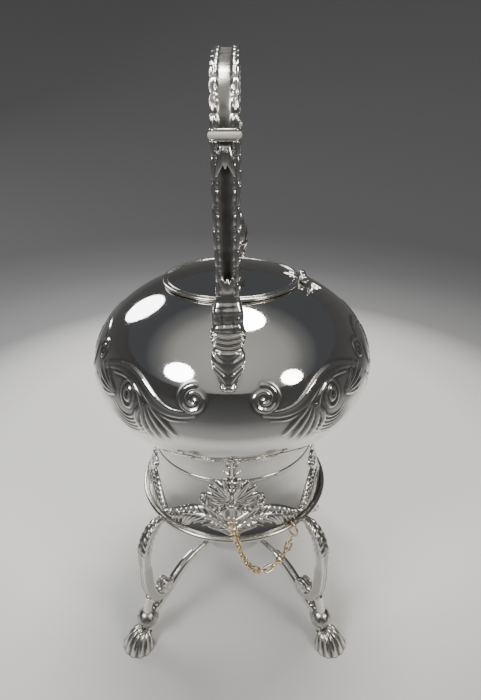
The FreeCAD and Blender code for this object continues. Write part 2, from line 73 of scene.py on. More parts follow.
def joint_place(name):
    for joint in frame["joints"]:
        if joint["name"] == name:
            return np.array(joint["pos_m"]) / MM
    raise KeyError(name)


BODY_R = high("kettle_body")[1]                       # the body is an ellipsoid of this radius
BODY_LOW = low("kettle_body")[2]
LID_RIM_R = high("lid_rim")[0] - 1.2
LID_RIM_Z = (low("lid_rim")[2] + high("lid_rim")[2]) / 2
BODY_HALF = 66.0                                      # half the body's height
BODY_Z = BODY_LOW + BODY_HALF
SHEET = 1.2                                           # thickness of the silver sheet
MOUTH_R = 43.5
RING_Z = (low("stand_ring")[2] + high("stand_ring")[2]) / 2
APRON_LOW = low("apron")[2]
ARM_LOW = low("handle_arm_rear")[2]
ARM_TOP = high("handle_arm_rear")[2]
ARM_Y = (low("handle_arm_rear")[1] + high("handle_arm_rear")[1]) / 2
ARM_FOOT_Y = -81.2                                    # the arm's foot, a little outside its top
GRIP_LOW = high("handle_insulator_rear")[2]
HINGE = joint_place("lid_hinge")
TILT = joint_place("kettle_tilt")
BURNER_LOW = low("burner_reservoir")[2]
CORNERS = {"back_right": 315.0, "front_right": 45.0, "front_left": 135.0, "back_left": 225.0}
SIDES = {"back": 0.0, "right": 90.0, "front": 180.0, "left": 270.0}
ANCHOR_TURN = math.radians(-54.0)                     # where the chain's jump ring hangs on the wire ring
WIRE_RING_WIRE = 2.0
RING_R = high("stand_ring")[0] - WIRE_RING_WIRE


# ---------------------------------------------------------------------------
# Materials
# ---------------------------------------------------------------------------

FINISH = "finish_"                                    # a finish's name is this and the name given to it


def fill_ramp(ramp, stops):
    """Sets a colour ramp's stops; each is a place and a colour, or a place and a grey."""
    while len(ramp.color_ramp.elements) < len(stops):
        ramp.color_ramp.elements.new(0.5)
    for element, (place, colour) in zip(ramp.color_ramp.elements, stops):
        element.position = place
        element.color = (*colour, 1.0) if isinstance(colour, tuple) else (colour, colour, colour, 1.0)


class Nodes:
    """A small helper that adds and links shader nodes."""

    def __init__(self, name):
        self.material = bpy.data.materials.new(FINISH + name)
        self.material.use_nodes = True
        self.tree = self.material.node_tree
        self.shader = self.tree.nodes["Principled BSDF"]

    def add(self, kind, **sockets):
        node = self.tree.nodes.new("ShaderNode" + kind)
        for key, value in sockets.items():
            node.inputs[key.replace("_", " ")].default_value = value
        return node

    def link(self, source, socket):
        self.tree.links.new(source, socket)

    def noise(self, scale, detail=4.0, stretch=None):
        coordinates = self.add("TexCoord")
        source = coordinates.outputs["Object"]
        if stretch:
            mapping = self.add("Mapping")
            mapping.inputs["Scale"].default_value = stretch
            self.link(source, mapping.inputs["Vector"])
            source = mapping.outputs["Vector"]
        noise = self.add("TexNoise", Scale=scale, Detail=detail)
        self.link(source, noise.inputs["Vector"])
        return noise.outputs["Fac"]

    def ramp(self, source, stops):
        ramp = self.add("ValToRGB")
        fill_ramp(ramp, stops)
        self.link(source, ramp.inputs["Fac"])
        return ramp.outputs["Color"]

    def mix(self, factor, first, second, how="MIX"):
        mix = self.add("Mix")
        mix.data_type = "RGBA"
        mix.blend_type = how
        for value, name in ((factor, "Factor"), (first, "A"), (second, "B")):
            sockets = [s for s in mix.inputs if s.name == name and s.enabled]
            socket = sockets[0]
            if isinstance(value, (int, float)):
                socket.default_value = value
            elif isinstance(value, tuple):
                socket.default_value = (*value, 1.0)
            else:
                self.link(value, socket)
        return [s for s in mix.outputs if s.enabled][0]

    def bump(self, source, strength, distance):
        bump = self.add("Bump", Strength=strength, Distance=distance)
        self.link(source, bump.inputs["Height"])
        self.link(bump.outputs["Normal"], self.shader.inputs["Normal"])


def silver(name, bright, tarnish_and_shade, rough, cavity_gain, grain):
    """Silver plate: bright where it is rubbed and tarnished in its recesses, with painted shade in its
    creases from an ambient-occlusion mask.
    """
    nodes = Nodes(name)
    nodes.shader.inputs["Metallic"].default_value = 1.0
    recess = nodes.add("Attribute")
    recess.attribute_name = "recess"
    # painted shade: an ambient-occlusion mask darkens the colour in creases and where parts meet
    painted_crease_shade = nodes.add("AmbientOcclusion", Distance=0.006)
    painted_crease_shade.samples = 8
    closed = nodes.ramp(painted_crease_shade.outputs["AO"], [(0.15, 0.8), (0.75, 0.0)])
    hollow = nodes.ramp(recess.outputs["Fac"], [(0.0, 0.0), (1.0, 1.0)])
    # the colour goes towards the tarnish colour by the recess tarnish or the painted crease shade, whichever
    # is stronger
    tarnish_and_painted_shade = nodes.mix(1.0, hollow, closed, "LIGHTEN")
    cloud = nodes.noise(45.0, 5.0)
    patches = nodes.ramp(cloud, [(0.3, 0.55), (0.7, 1.0)])
    tarnish_and_painted_shade = nodes.mix(1.0, tarnish_and_painted_shade, patches, "MULTIPLY")
    tarnish_and_painted_shade = nodes.mix(1.0, tarnish_and_painted_shade, (cavity_gain, cavity_gain, cavity_gain), "MULTIPLY")
    tone = nodes.ramp(nodes.noise(18.0, 3.0), [(0.25, bright), (0.75, tuple(c * 0.96 for c in bright))])
    nodes.link(nodes.mix(tarnish_and_painted_shade, tone, tarnish_and_shade), nodes.shader.inputs["Base Color"])
    wear = nodes.noise(260.0, 6.0)
    low_rough, high_rough = rough
    gloss = nodes.ramp(wear, [(0.3, low_rough), (0.75, high_rough)])
    nodes.link(nodes.mix(tarnish_and_painted_shade, gloss, (0.42, 0.42, 0.42)), nodes.shader.inputs["Roughness"])
    nodes.bump(nodes.noise(grain[0], 8.0), grain[1], 0.0004)
    return nodes.material


POLISHED = silver("polished_silver", (0.84, 0.83, 0.80), (0.07, 0.056, 0.043), (0.03, 0.075), 0.92,
                  (900.0, 0.02))
CAST = silver("cast_silver", (0.84, 0.82, 0.78), (0.045, 0.036, 0.028), (0.10, 0.22), 1.0, (1500.0, 0.10))
FITTINGS = silver("silver_fittings", (0.82, 0.79, 0.73), (0.08, 0.065, 0.05), (0.12, 0.24), 0.9,
                  (1200.0, 0.06))
GILT = silver("worn_gilt_chain", (0.90, 0.71, 0.46), (0.13, 0.075, 0.04), (0.14, 0.28), 0.9, (1400.0, 0.08))


def insulator_material():
    nodes = Nodes("insulator")
    nodes.shader.inputs["Roughness"].default_value = 0.32
    nodes.shader.inputs["Subsurface Weight"].default_value = 0.15
    nodes.shader.inputs["Subsurface Radius"].default_value = (0.002, 0.0015, 0.001)
    grain = nodes.noise(60.0, 6.0, (1.0, 1.0, 9.0))
    tone = nodes.ramp(grain, [(0.3, (0.86, 0.81, 0.70)), (0.7, (0.93, 0.90, 0.82))])
    nodes.link(tone, nodes.shader.inputs["Base Color"])
    nodes.bump(grain, 0.08, 0.0003)
    return nodes.material


def wick_material():
    nodes = Nodes("wick")
    nodes.shader.inputs["Roughness"].default_value = 0.95
    nodes.shader.inputs["Sheen Weight"].default_value = 0.3
    weave = nodes.add("TexWave", Scale=260.0, Distortion=2.0)
    weave.bands_direction = "DIAGONAL"
    nodes.link(nodes.add("TexCoord").outputs["Object"], weave.inputs["Vector"])
    tone = nodes.ramp(weave.outputs["Fac"], [(0.0, (0.52, 0.48, 0.40)), (1.0, (0.86, 0.83, 0.75))])
    nodes.link(tone, nodes.shader.inputs["Base Color"])
    nodes.bump(weave.outputs["Fac"], 0.6, 0.0005)
    return nodes.material


INSULATOR = insulator_material()
WICK = wick_material()


# ---------------------------------------------------------------------------
# Mesh kit: every piece is a displaced grid, a lathe or a sweep, made from arrays of points
# ---------------------------------------------------------------------------

def blur(field, passes=3):
    for _ in range(passes):
        field = (np.roll(field, 1, 0) + np.roll(field, -1, 0) + np.roll(field, 1, 1)
                 + np.roll(field, -1, 1)) / 4
    return field


def smooth_outwards(mesh):
    """Turns every face outwards and shades it smooth."""
    shell = bmesh.new()
    shell.from_mesh(mesh)
    bmesh.ops.recalc_face_normals(shell, faces=shell.faces)
    shell.to_mesh(mesh)
    shell.free()
    mesh.polygons.foreach_set("use_smooth", np.ones(len(mesh.polygons), bool))


class Mesh:
    """Collects grids of points into one mesh object."""

    def __init__(self):
        self.points = []
        self.faces = []
        self.recess = []
        self.count = 0

    def grid(self, points, wrap_u=False, wrap_v=False, recess=None, keep=None, flip=False, caps=""):
        """Adds a grid of points, rows along v and columns along u; caps closes the first or last row."""
        rows, columns, _ = points.shape
        index = np.arange(rows * columns).reshape(rows, columns) + self.count
        u_next = np.roll(index, -1, 1) if wrap_u else index[:, 1:]
        here = index if wrap_u else index[:, :-1]
        if wrap_v:
            a, b, c, d = here, u_next, np.roll(u_next, -1, 0), np.roll(here, -1, 0)
        else:
            a, b, c, d = here[:-1], u_next[:-1], u_next[1:], here[1:]
        quads = np.stack([a, b, c, d], -1).reshape(-1, 4)
        if keep is not None:
            flat = keep.reshape(-1)
            quads = quads[flat[quads - self.count].any(1)]
        if flip:
            quads = quads[:, ::-1]
        self.faces.extend(quads.tolist())
        for cap, row in (("first", index[0]), ("last", index[-1])):
            if cap in caps:
                loop = row.tolist()
                self.faces.append(loop if (cap == "last") != flip else loop[::-1])
        self.points.append(points.reshape(-1, 3))
        self.recess.append(np.zeros(rows * columns) if recess is None
                           else np.asarray(recess, float).reshape(-1))
        self.count += rows * columns

    def turned(self, degrees):
        """Replaces everything so far with copies turned about Z by each angle."""
        points = np.concatenate(self.points)
        recess = np.concatenate(self.recess)
        faces = self.faces
        size = self.count
        self.points, self.recess, self.faces = [], [], []
        for number, angle in enumerate(degrees):
            turn = math.radians(angle)
            c, s = math.cos(turn), math.sin(turn)
            x = points[:, 0] * c - points[:, 1] * s
            y = points[:, 0] * s + points[:, 1] * c
            self.points.append(np.stack([x, y, points[:, 2]], 1))
            self.recess.append(recess)
            self.faces.extend([[i + number * size for i in face] for face in faces])
        self.count = size * len(degrees)

    def make(self, name, material, body, replaces):
        """Turns the grids into a smooth-shaded object; it may ride on a body and replace CAD nodes."""
        points = np.concatenate(self.points) * MM
        recess = np.concatenate(self.recess)
        used = np.zeros(len(points), bool)
        for face in self.faces:
            used[face] = True
        renumber = np.cumsum(used) - 1
        faces = [[int(renumber[i]) for i in face] for face in self.faces]
        mesh = bpy.data.meshes.new(name)
        mesh.from_pydata(points[used].tolist(), [], faces)
        smooth_outwards(mesh)
        layer = mesh.attributes.new("recess", "FLOAT", "POINT")
        layer.data.foreach_set("value", recess[used].astype(np.float32))
        mesh.materials.append(material)
        piece = bpy.data.objects.new(name, mesh)
        bpy.context.scene.collection.objects.link(piece)
        if body:
            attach(piece, body)
        if replaces:
            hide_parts(*replaces)
        return piece


def smooth_line(points, steps=12):
    """A Catmull-Rom line through the points, as an array."""
    points = np.asarray(points, float)
    padded = np.vstack([2 * points[0] - points[1], points, 2 * points[-1] - points[-2]])
    t = np.linspace(0, 1, steps, endpoint=False)[:, None]
    out = []
    for p0, p1, p2, p3 in zip(padded, padded[1:], padded[2:], padded[3:]):
        out.append(0.5 * (2 * p1 + (p2 - p0) * t + (2 * p0 - 5 * p1 + 4 * p2 - p3) * t ** 2
                          + (3 * p1 - p0 - 3 * p2 + p3) * t ** 3))
    out.append(points[-1:])
    return np.vstack(out)


def spiral(centre, start_deg, turns, inner, outer, count=60):
    """A volute that grows from its eye outwards and ends at its widest turn."""
    t = np.linspace(0, 1, count)
    angle = math.radians(start_deg) + TURN * turns * t
    radius = inner + (outer - inner) * t ** 0.8
    return np.stack([centre[0] + radius * np.cos(angle), centre[1] + radius * np.sin(angle)], 1)


class Stroke:
    """One raised line of ornament: a path in the surface's own millimetres, with its width and height."""

    def __init__(self, path, width, height, kind="ridge"):
        self.path = np.asarray(path, float)
        self.width = width
        self.height = height
        self.kind = kind

    def lift(self, u, v):
        """Height of the stroke over each point of a grid, 0 away from it."""
        reach = max(self.width) if isinstance(self.width, tuple) else self.width
        lo = self.path.min(0) - reach * 1.3
        hi = self.path.max(0) + reach * 1.3
        near = (u > lo[0]) & (u < hi[0]) & (v > lo[1]) & (v < hi[1])
        out = np.zeros_like(u)
        if not near.any():
            return out
        p = np.stack([u[near], v[near]], 1)
        best = np.full(len(p), 1e9)
        along = np.zeros(len(p))
        side = np.zeros(len(p))
        lengths = np.linalg.norm(np.diff(self.path, axis=0), axis=1)
        total = lengths.sum()
        run = 0.0
        for a, b, length in zip(self.path, self.path[1:], lengths):
            if length < 1e-9:
                continue
            d = (b - a) / length
            rel = p - a
            t = np.clip(rel @ d, 0, length)
            gap = np.linalg.norm(rel - t[:, None] * d, axis=1)
            closer = gap < best
            best[closer] = gap[closer]
            along[closer] = ((run + t) / total)[closer]
            side[closer] = np.sign(rel[:, 0] * d[1] - rel[:, 1] * d[0])[closer]
            run += length
        width = self.pick(self.width, along)
        height = self.pick(self.height, along)
        x = np.clip(best / np.maximum(width, 1e-6), 0, 1)
        dome = np.sqrt(1 - x ** 2)
        if self.kind == "ribbon":
            shape = (1 - x ** 8) * (0.45 + 0.55 * x ** 2)
        elif self.kind == "leaf":
            shape = (1 - x ** 3) * (0.55 + 0.45 * np.abs(2 * x - 1))
        elif self.kind == "groove":
            shape = -dome
        else:
            shape = dome * (1 - 0.25 * x)
        out[near] = shape * height
        return out

    def scaled(self, width, height):
        """The same line, thinner or lower."""
        thin = [tuple(n * k for n in v) if isinstance(v, tuple) else v * k
                for v, k in ((self.width, width), (self.height, height))]
        return Stroke(self.path, thin[0], thin[1], self.kind)

    @staticmethod
    def pick(value, along):
        """A constant, or (start, middle, end) read along the path."""
        if not isinstance(value, tuple):
            return np.full_like(along, value)
        return np.interp(along, np.linspace(0, 1, len(value)), value)


def raised(strokes, u, v):
    """The highest stroke over each point, with grooves cut in afterwards."""
    field = np.zeros_like(u)
    for stroke in strokes:
        if stroke.kind != "groove":
            field = np.maximum(field, stroke.lift(u, v))
    for stroke in strokes:
        if stroke.kind == "groove":
            field = field + np.where(field > 0.05, stroke.lift(u, v), 0)
    return field


def recess_of(field, gain):
    """How deep each point lies below the ornament round it, from 0 to 1."""
    return np.clip((blur(field, 10) - field) * gain, 0, 1)


def lathe(mesh, outline, around=160, flute=None, closed=False, tarnish_and_shade=0.0):
    """Turns a (radius, z) outline about Z.

    flute(angle, z) may push the radius; the tarnish and painted shade value darkens the colour, as one value
    or one for each row.
    """
    outline = np.asarray(outline, float)
    angle = np.linspace(0, TURN, around, endpoint=False)
    radius = outline[:, 0][:, None] * np.ones(around)
    if flute is not None:
        radius = radius + flute(angle[None, :], outline[:, 1][:, None])
    points = np.stack([radius * np.cos(angle), radius * np.sin(angle),
                       outline[:, 1][:, None] * np.ones(around)], -1)
    recess = np.asarray(tarnish_and_shade, float).reshape(-1, 1) * np.ones((len(outline), around))
    mesh.grid(points, wrap_u=True, wrap_v=closed, recess=recess)


def frames_along(line, side):
    """Unit tangents and outward normals of a 3-D line, given its constant sideways direction."""
    tangent = np.gradient(line, axis=0)
    tangent /= np.linalg.norm(tangent, axis=1)[:, None]
    out = np.cross(tangent, np.asarray(side, float))
    out /= np.linalg.norm(out, axis=1)[:, None]
    return tangent, out


def spread(values, s):
    """One value for each place along a line, from one number or from a few spread evenly along it."""
    if not np.ndim(values):
        return np.full(len(s), values)
    return np.interp(s / s[-1], np.linspace(0, 1, len(values)), values)


def sweep(mesh, line, side, half_w, half_t, square=0.5, around=40, relief=None, caps="first last",
          tarnish_and_shade=None):
    """Sweeps a rounded strap along a line.

    relief and the tarnish-and-shade darkening are functions of (x, s, face): x runs across from -1 to 1, s
    along in millimetres.
    """
    line = np.asarray(line, float)
    side = np.asarray(side, float)
    side = side / np.linalg.norm(side)
    _, out = frames_along(line, side)
    steps = np.linalg.norm(np.diff(line, axis=0), axis=1)
    s = np.concatenate([[0], np.cumsum(steps)])
    half_w = spread(half_w, s)
    half_t = spread(half_t, s)
    angle = np.linspace(0, TURN, around, endpoint=False)
    c, d = np.cos(angle), np.sin(angle)
    x = np.sign(c) * np.abs(c) ** square
    y = np.sign(d) * np.abs(d) ** square
    lift = np.zeros((len(s), around))
    place = (x[None, :] * np.ones((len(s), 1)), s[:, None] * np.ones(around),
             y[None, :] * np.ones((len(s), 1)))
    if relief is not None:
        lift = relief(*place)
    recess = recess_of(lift, 1.6)
    if tarnish_and_shade is not None:
        recess = np.maximum(recess, tarnish_and_shade(*place))
    across = x[None, :] * half_w[:, None] + lift * x[None, :] * 0.5
    outward = y[None, :] * half_t[:, None] + lift * y[None, :]
    points = line[:, None, :] + across[..., None] * side + outward[..., None] * out[:, None, :]
    mesh.grid(points, wrap_u=True, recess=recess, caps=caps, flip=True)


# ---------------------------------------------------------------------------
# Kettle body: a polished ellipsoid with raised and chased scrollwork
# ---------------------------------------------------------------------------

def ellipsoid(azimuth, latitude, lift, grow=0.0):
    """A point over the body; azimuth from the back towards +X, latitude from the widest line."""
    a, c = BODY_R + grow, BODY_HALF + grow
    x = a * np.cos(latitude) * np.sin(azimuth)
    y = -a * np.cos(latitude) * np.cos(azimuth)
    z = c * np.sin(latitude)
    normal = np.stack([x / a ** 2, y / a ** 2, z / c ** 2], -1)
    normal /= np.linalg.norm(normal, axis=-1)[..., None]
    return np.stack([x, y, z + BODY_Z], -1) + normal * np.asarray(lift)[..., None]


def meridian_length(latitude):
    """Distance along the body from its widest line up to a latitude."""
    steps = np.linspace(-math.pi / 2, math.pi / 2, 2000)
    slope = np.sqrt((BODY_R * np.sin(steps)) ** 2 + (BODY_HALF * np.cos(steps)) ** 2)
    length = np.concatenate([[0], np.cumsum((slope[1:] + slope[:-1]) / 2 * np.diff(steps))])
    return np.interp(latitude, steps, length - np.interp(0, steps, length))


def fan(centre, angles, start, length, bend, width, height, kind="ridge"):
    """Lobes that spread from a centre; bend curls them sideways towards their tips."""
    strokes = []
    for number, degrees in enumerate(angles):
        turn = math.radians(degrees)
        reach = length[number] if isinstance(length, (list, tuple)) else length
        t = np.linspace(0, 1, 12)
        turns = turn + math.radians(bend) * t
        step = (reach - start) / 11
        x = centre[0] + start * math.cos(turn) + np.concatenate([[0], np.cumsum(np.cos(turns[1:]) * step)])
        y = centre[1] + start * math.sin(turn) + np.concatenate([[0], np.cumsum(np.sin(turns[1:]) * step)])
        strokes.append(Stroke(np.stack([x, y], 1), width, height, kind))
    return strokes


def arc(centre, radius, start_deg, end_deg, tall=1.0):
    angle = np.radians(np.linspace(start_deg, end_deg, 24))
    return np.stack([centre[0] + radius * np.cos(angle), centre[1] + tall * radius * np.sin(angle)], 1)


def body_ornament():
    """Scrollwork on one quarter: u runs round the body from the back, v up from its widest line."""
    volute = spiral((20.5, 18.5), 180, 1.75, 1.0, 8.6)
    ribbon = smooth_line([(20.5, 9.9), (29, 8.8), (38, 9.9), (46, 13.8), (53, 19.0), (60, 23.2), (68, 25.6),
                          (78, 25.6), (88, 23.0), (96, 19.0)])
    strokes = [
        Stroke(volute, (0.9, 1.5, 2.0), (1.6, 1.7, 1.5)),
        Stroke(ribbon, (2.2, 4.8, 4.4, 2.4), (1.2, 1.7, 1.7, 1.2), "ribbon"),
        Stroke(smooth_line([(24, 5.2), (34, 4.6), (43, 7.8), (50, 13.0)]), (0.6, 1.5, 1.0), (0.5, 1.2, 1.0)),
        Stroke(smooth_line([(56, 2), (54.5, 8), (56.8, 14.4), (62.5, 19.4), (71, 21.8), (82, 20.6)]),
               (1.0, 1.8, 1.0), (1.2, 1.9, 1.2)),
        Stroke(arc((66, 12), 5.4, 0, 360, 1.6), 1.1, 1.3),
        Stroke(arc((66, 12), 2.2, 0, 360, 1.7), 2.3, 1.9),
    ]
    # the hanging acanthus spray
    for root, middle, tip in (((49, 11), (40, 3), (32.0, -6)), ((50, 10), (44, 0), (37.4, -10.5)),
                              ((51.4, 9), (48.4, -2), (43.4, -13.5)), ((52.6, 9), (53.4, -2), (50.0, -14.0)),
                              ((53.6, 9), (58.4, -1), (56.6, -10.5))):
        strokes.append(Stroke(smooth_line([root, middle, tip]), (0.9, 2.5, 2.6, 1.5), (1.1, 1.9, 1.8, 1.0)))
    # the turned-over shell of nested ridges
    for number in range(5):
        radius = 9.5 + 3.3 * number
        strokes.append(Stroke(arc((68, 4), radius, -168 + 5 * number, -22 - 4 * number, 0.82),
                              (0.5, 1.3, 0.5), (0.6, 1.3, 0.6)))
    # the side leaf
    strokes += fan((76, 8), [34, 20, 6, -8, -22], 3, [24, 27, 27, 24, 19], 14, (1.0, 1.9, 0.8),
                   (1.2, 1.5, 0.8))
    # the cartouche on the side, shared with its mirror image
    strokes += [
        Stroke(spiral((108, 26), -150, -1.6, 0.9, 7.4), (0.8, 1.3, 1.9), (1.6, 1.7, 1.5)),
        Stroke(smooth_line([(114.5, 29), (123, 36.5), (135, 38), (147, 32.5), (153, 27)]), (1.9, 2.8, 1.6),
               (1.5, 1.9, 1.4), "ribbon"),
        Stroke(smooth_line([(108, 8), (116, 1), (128, -3), (142, -2), (153, -8)]), (1.0, 2.6, 1.6),
               (1.1, 1.7, 1.3), "ribbon"),
        Stroke(smooth_line([(122, 26), (119, 17), (122, 8), (131, 3), (143, 4), (150, 9)]), (1.0, 2.0, 1.2),
               (1.2, 1.8, 1.2)),
    ]
    strokes += fan((153, -6), [108, 124, 140, 156], 5, [30, 27, 22, 16], -10, (1.0, 2.4, 1.6),
                   (1.2, 1.8, 1.1))
    strokes += fan((128, -4), [-140, -118, -96, -74], 2, [15, 18, 17, 13], 16, (0.9, 1.7, 1.0),
                   (1.0, 1.4, 0.8))
    strokes.append(Stroke([(153, 0), (153, 24)], (1.4, 2.6, 2.0), (1.4, 2.0, 1.5)))
    strokes.append(Stroke(spiral((20.5, 18.5), 180, 1.25, 0.8, 5.9), (0.7, 1.0, 1.1), (1.5, 1.5, 1.3)))
    return [stroke.scaled(0.74, 0.60) for stroke in strokes]


def spaced(stops):
    """Values from (end, step) spans: each span runs on from the last, evenly."""
    values = [stops[0]]
    for end, step in stops[1:]:
        count = max(1, round((end - values[-1]) / step))
        values.extend(np.linspace(values[-1], end, count + 1)[1:])
    return np.array(values)


def kettle_body():
    quarter = spaced([0.0, (5.0, 1.0), (90.0, 0.36)])
    half = np.concatenate([quarter, 180 - quarter[::-1][1:]])
    round_all = np.radians(np.concatenate([half, 360 - half[::-1][1:-1]]))
    mouth = math.acos(MOUTH_R / BODY_R)
    upper = math.asin((LID_RIM_Z - 1.6 - BODY_Z) / BODY_HALF)
    bands = np.radians(spaced([-90.0, (-26.0, 2.0), (38.0, 0.42),
                               (math.degrees(min(mouth, upper + 0.05)), 1.2)]))
    azimuth, latitude = np.meshgrid(round_all, bands)
    quarter_azimuth = np.arcsin(np.abs(np.sin(azimuth)))
    u = quarter_azimuth * BODY_R * 0.965
    v = meridian_length(latitude)
    lift = raised(body_ornament(), u, v)
    # the chased edges soften into the sheet
    lift = blur(lift, 1)
    mesh = Mesh()
    outer = ellipsoid(azimuth, latitude, lift)
    mesh.grid(outer[:, ::-1], wrap_u=True, recess=recess_of(lift, 6.5)[:, ::-1], flip=True)
    inner_bands = np.radians(np.linspace(-88, math.degrees(bands[-1]), 48))
    turn, tilt = np.meshgrid(np.linspace(0, TURN, 144, endpoint=False), inner_bands)
    inner = ellipsoid(turn, tilt, np.zeros_like(turn), -SHEET)
    mesh.grid(inner[:, ::-1], wrap_u=True, recess=np.full(turn.shape, 0.5))
    lip = ellipsoid(azimuth[-1], latitude[-1], np.zeros_like(azimuth[-1]), -SHEET)
    mesh.grid(np.stack([outer[-1], lip]), wrap_u=True)
    mesh.make("kettle_body_chased", POLISHED, "kettle", ["kettle_body", "mouth_collar"])


# ---------------------------------------------------------------------------
# Lid, its hinge and the finial
# ---------------------------------------------------------------------------

def dome_height(radius, grow):
    return BODY_Z + (BODY_HALF + grow) * math.sqrt(1 - (radius / (BODY_R + grow)) ** 2)


def lid():
    mesh = Mesh()
    gap = 0.45
    outer = [(r, dome_height(r, gap + SHEET)) for r in np.linspace(0.3, LID_RIM_R - 0.6, 48)]
    inner = [(r, dome_height(r, gap)) for r in np.linspace(LID_RIM_R - 0.6, 0.3, 24)]
    lathe(mesh, outer[::-1], 192)
    lathe(mesh, inner[::-1], 192)
    mesh.make("lid_dome_turned", POLISHED, "lid", ["lid_dome"])

    rim = Mesh()
    ring = np.linspace(0, TURN, 21)[:-1]
    main = [(LID_RIM_R + 1.15 * math.cos(t), LID_RIM_Z + 1.15 * math.sin(t)) for t in ring]
    lathe(rim, main, 224, closed=True)
    inset_r = LID_RIM_R - 2.6
    inset_z = dome_height(inset_r, gap + SHEET)
    fine = [(inset_r + 0.5 * math.cos(t), inset_z + 0.45 * math.sin(t)) for t in ring]
    lathe(rim, fine, 224, closed=True)
    rim.make("lid_rim_wires", FITTINGS, "lid", ["lid_rim"])


def leaf_on_body(name, strokes, span, grow, body, material, replaces, extra=None):
    """A cast leaf over the lid hinge, drawn on the plan of the body's shoulder."""
    (x0, x1), (y0, y1) = span
    x, y = np.meshgrid(np.arange(x0, x1, 0.3), np.arange(y0, y1, 0.3))
    lift = raised(strokes, x, y)
    field = np.where(lift > 0.02, lift, -0.6)
    radius = np.hypot(x, y)
    base = BODY_Z + (BODY_HALF + grow) * np.sqrt(np.clip(1 - (radius / (BODY_R + grow)) ** 2, 0, 1))
    normal = np.stack([x / BODY_R ** 2, y / BODY_R ** 2, (base - BODY_Z) / BODY_HALF ** 2], -1)
    normal /= np.linalg.norm(normal, axis=-1)[..., None]
    points = np.stack([x, y, base], -1) + normal * blur(field, 1)[..., None]
    mesh = Mesh()
    keep = blur((lift > 0.02).astype(float), 3) > 0.01
    mesh.grid(points, recess=recess_of(lift, 0.7), keep=keep)
    if extra:
        extra(mesh)
    return mesh.make(name, material, body, replaces)


def hinge_barrel(mesh, spans):
    """Ringed knuckles along the hinge's axis."""
    for y0, y1 in spans:
        y = np.linspace(y0, y1, 16)
        t = (y - y0) / (y1 - y0)
        radius = 2.25 - 0.28 * np.abs(np.sin(t * math.pi * 3)) ** 2
        radius[0] = radius[-1] = 1.7
        turn = np.linspace(0, TURN, 28, endpoint=False)
        x = HINGE[0] + radius[:, None] * np.cos(turn)
        z = HINGE[2] + radius[:, None] * np.sin(turn)
        mesh.grid(np.stack([x, y[:, None] * np.ones(28), z], -1), wrap_u=True, caps="first last", flip=True)


def lid_hinge():
    """Pointed cast leaves along the lid's edge, a ray pointing outwards, and three knuckles."""
    strokes = []
    for side in (-1, 1):
        strokes += [
            Stroke(smooth_line([(54.0, 2 * side), (53.6, 10 * side), (52.6, 17 * side), (50.6, 24 * side)]),
                   (1.3, 1.5, 0.4), (1.9, 1.6, 0.7)),
            Stroke(smooth_line([(54, 4 * side), (57.2, 8 * side), (57.0, 12.5 * side)]), (1.0, 1.0, 0.4),
                   (1.6, 1.3, 0.7)),
            Stroke(smooth_line([(54, 10 * side), (56, 14 * side), (55.0, 18 * side)]), (1.0, 1.2, 0.4),
                   (1.6, 1.3, 0.6)),
            Stroke(smooth_line([(55, 1.5 * side), (59, 4 * side), (60.5, 7.0 * side)]), (0.9, 0.9, 0.4),
                   (1.6, 1.3, 0.6)),
        ]
    strokes.append(Stroke([(54, 0), (58, 0), (64.5, 0)], (1.7, 1.1, 0.4), (2.0, 1.5, 0.7)))
    leaf_on_body("lid_hinge_star", strokes, ((48.5, 65.0), (-26, 26)), 0.0, "kettle", CAST,
                 ["body_hinge_leaf", "lid_hinge_pin"], lambda m: hinge_barrel(m, [(-9, -4), (4, 9)]))
    moving = [
        Stroke([(50, 0), (44, 0), (37, 0)], (3.4, 2.4, 0.5), (1.6, 1.1, 0.6), "leaf"),
        Stroke(smooth_line([(47, 1), (44, 3.6), (40.5, 4.4)]), (1.5, 1.2, 0.4), (1.5, 1.1, 0.5)),
        Stroke(smooth_line([(47, -1), (44, -3.6), (40.5, -4.4)]), (1.5, 1.2, 0.4), (1.5, 1.1, 0.5)),
    ]
    leaf_on_body("lid_hinge_tongue", moving, ((35, 51), (-6, 6)), 1.65, "lid", CAST,
                 ["lid_hinge_leaf"], lambda m: hinge_barrel(m, [(-3.7, 3.7)]))


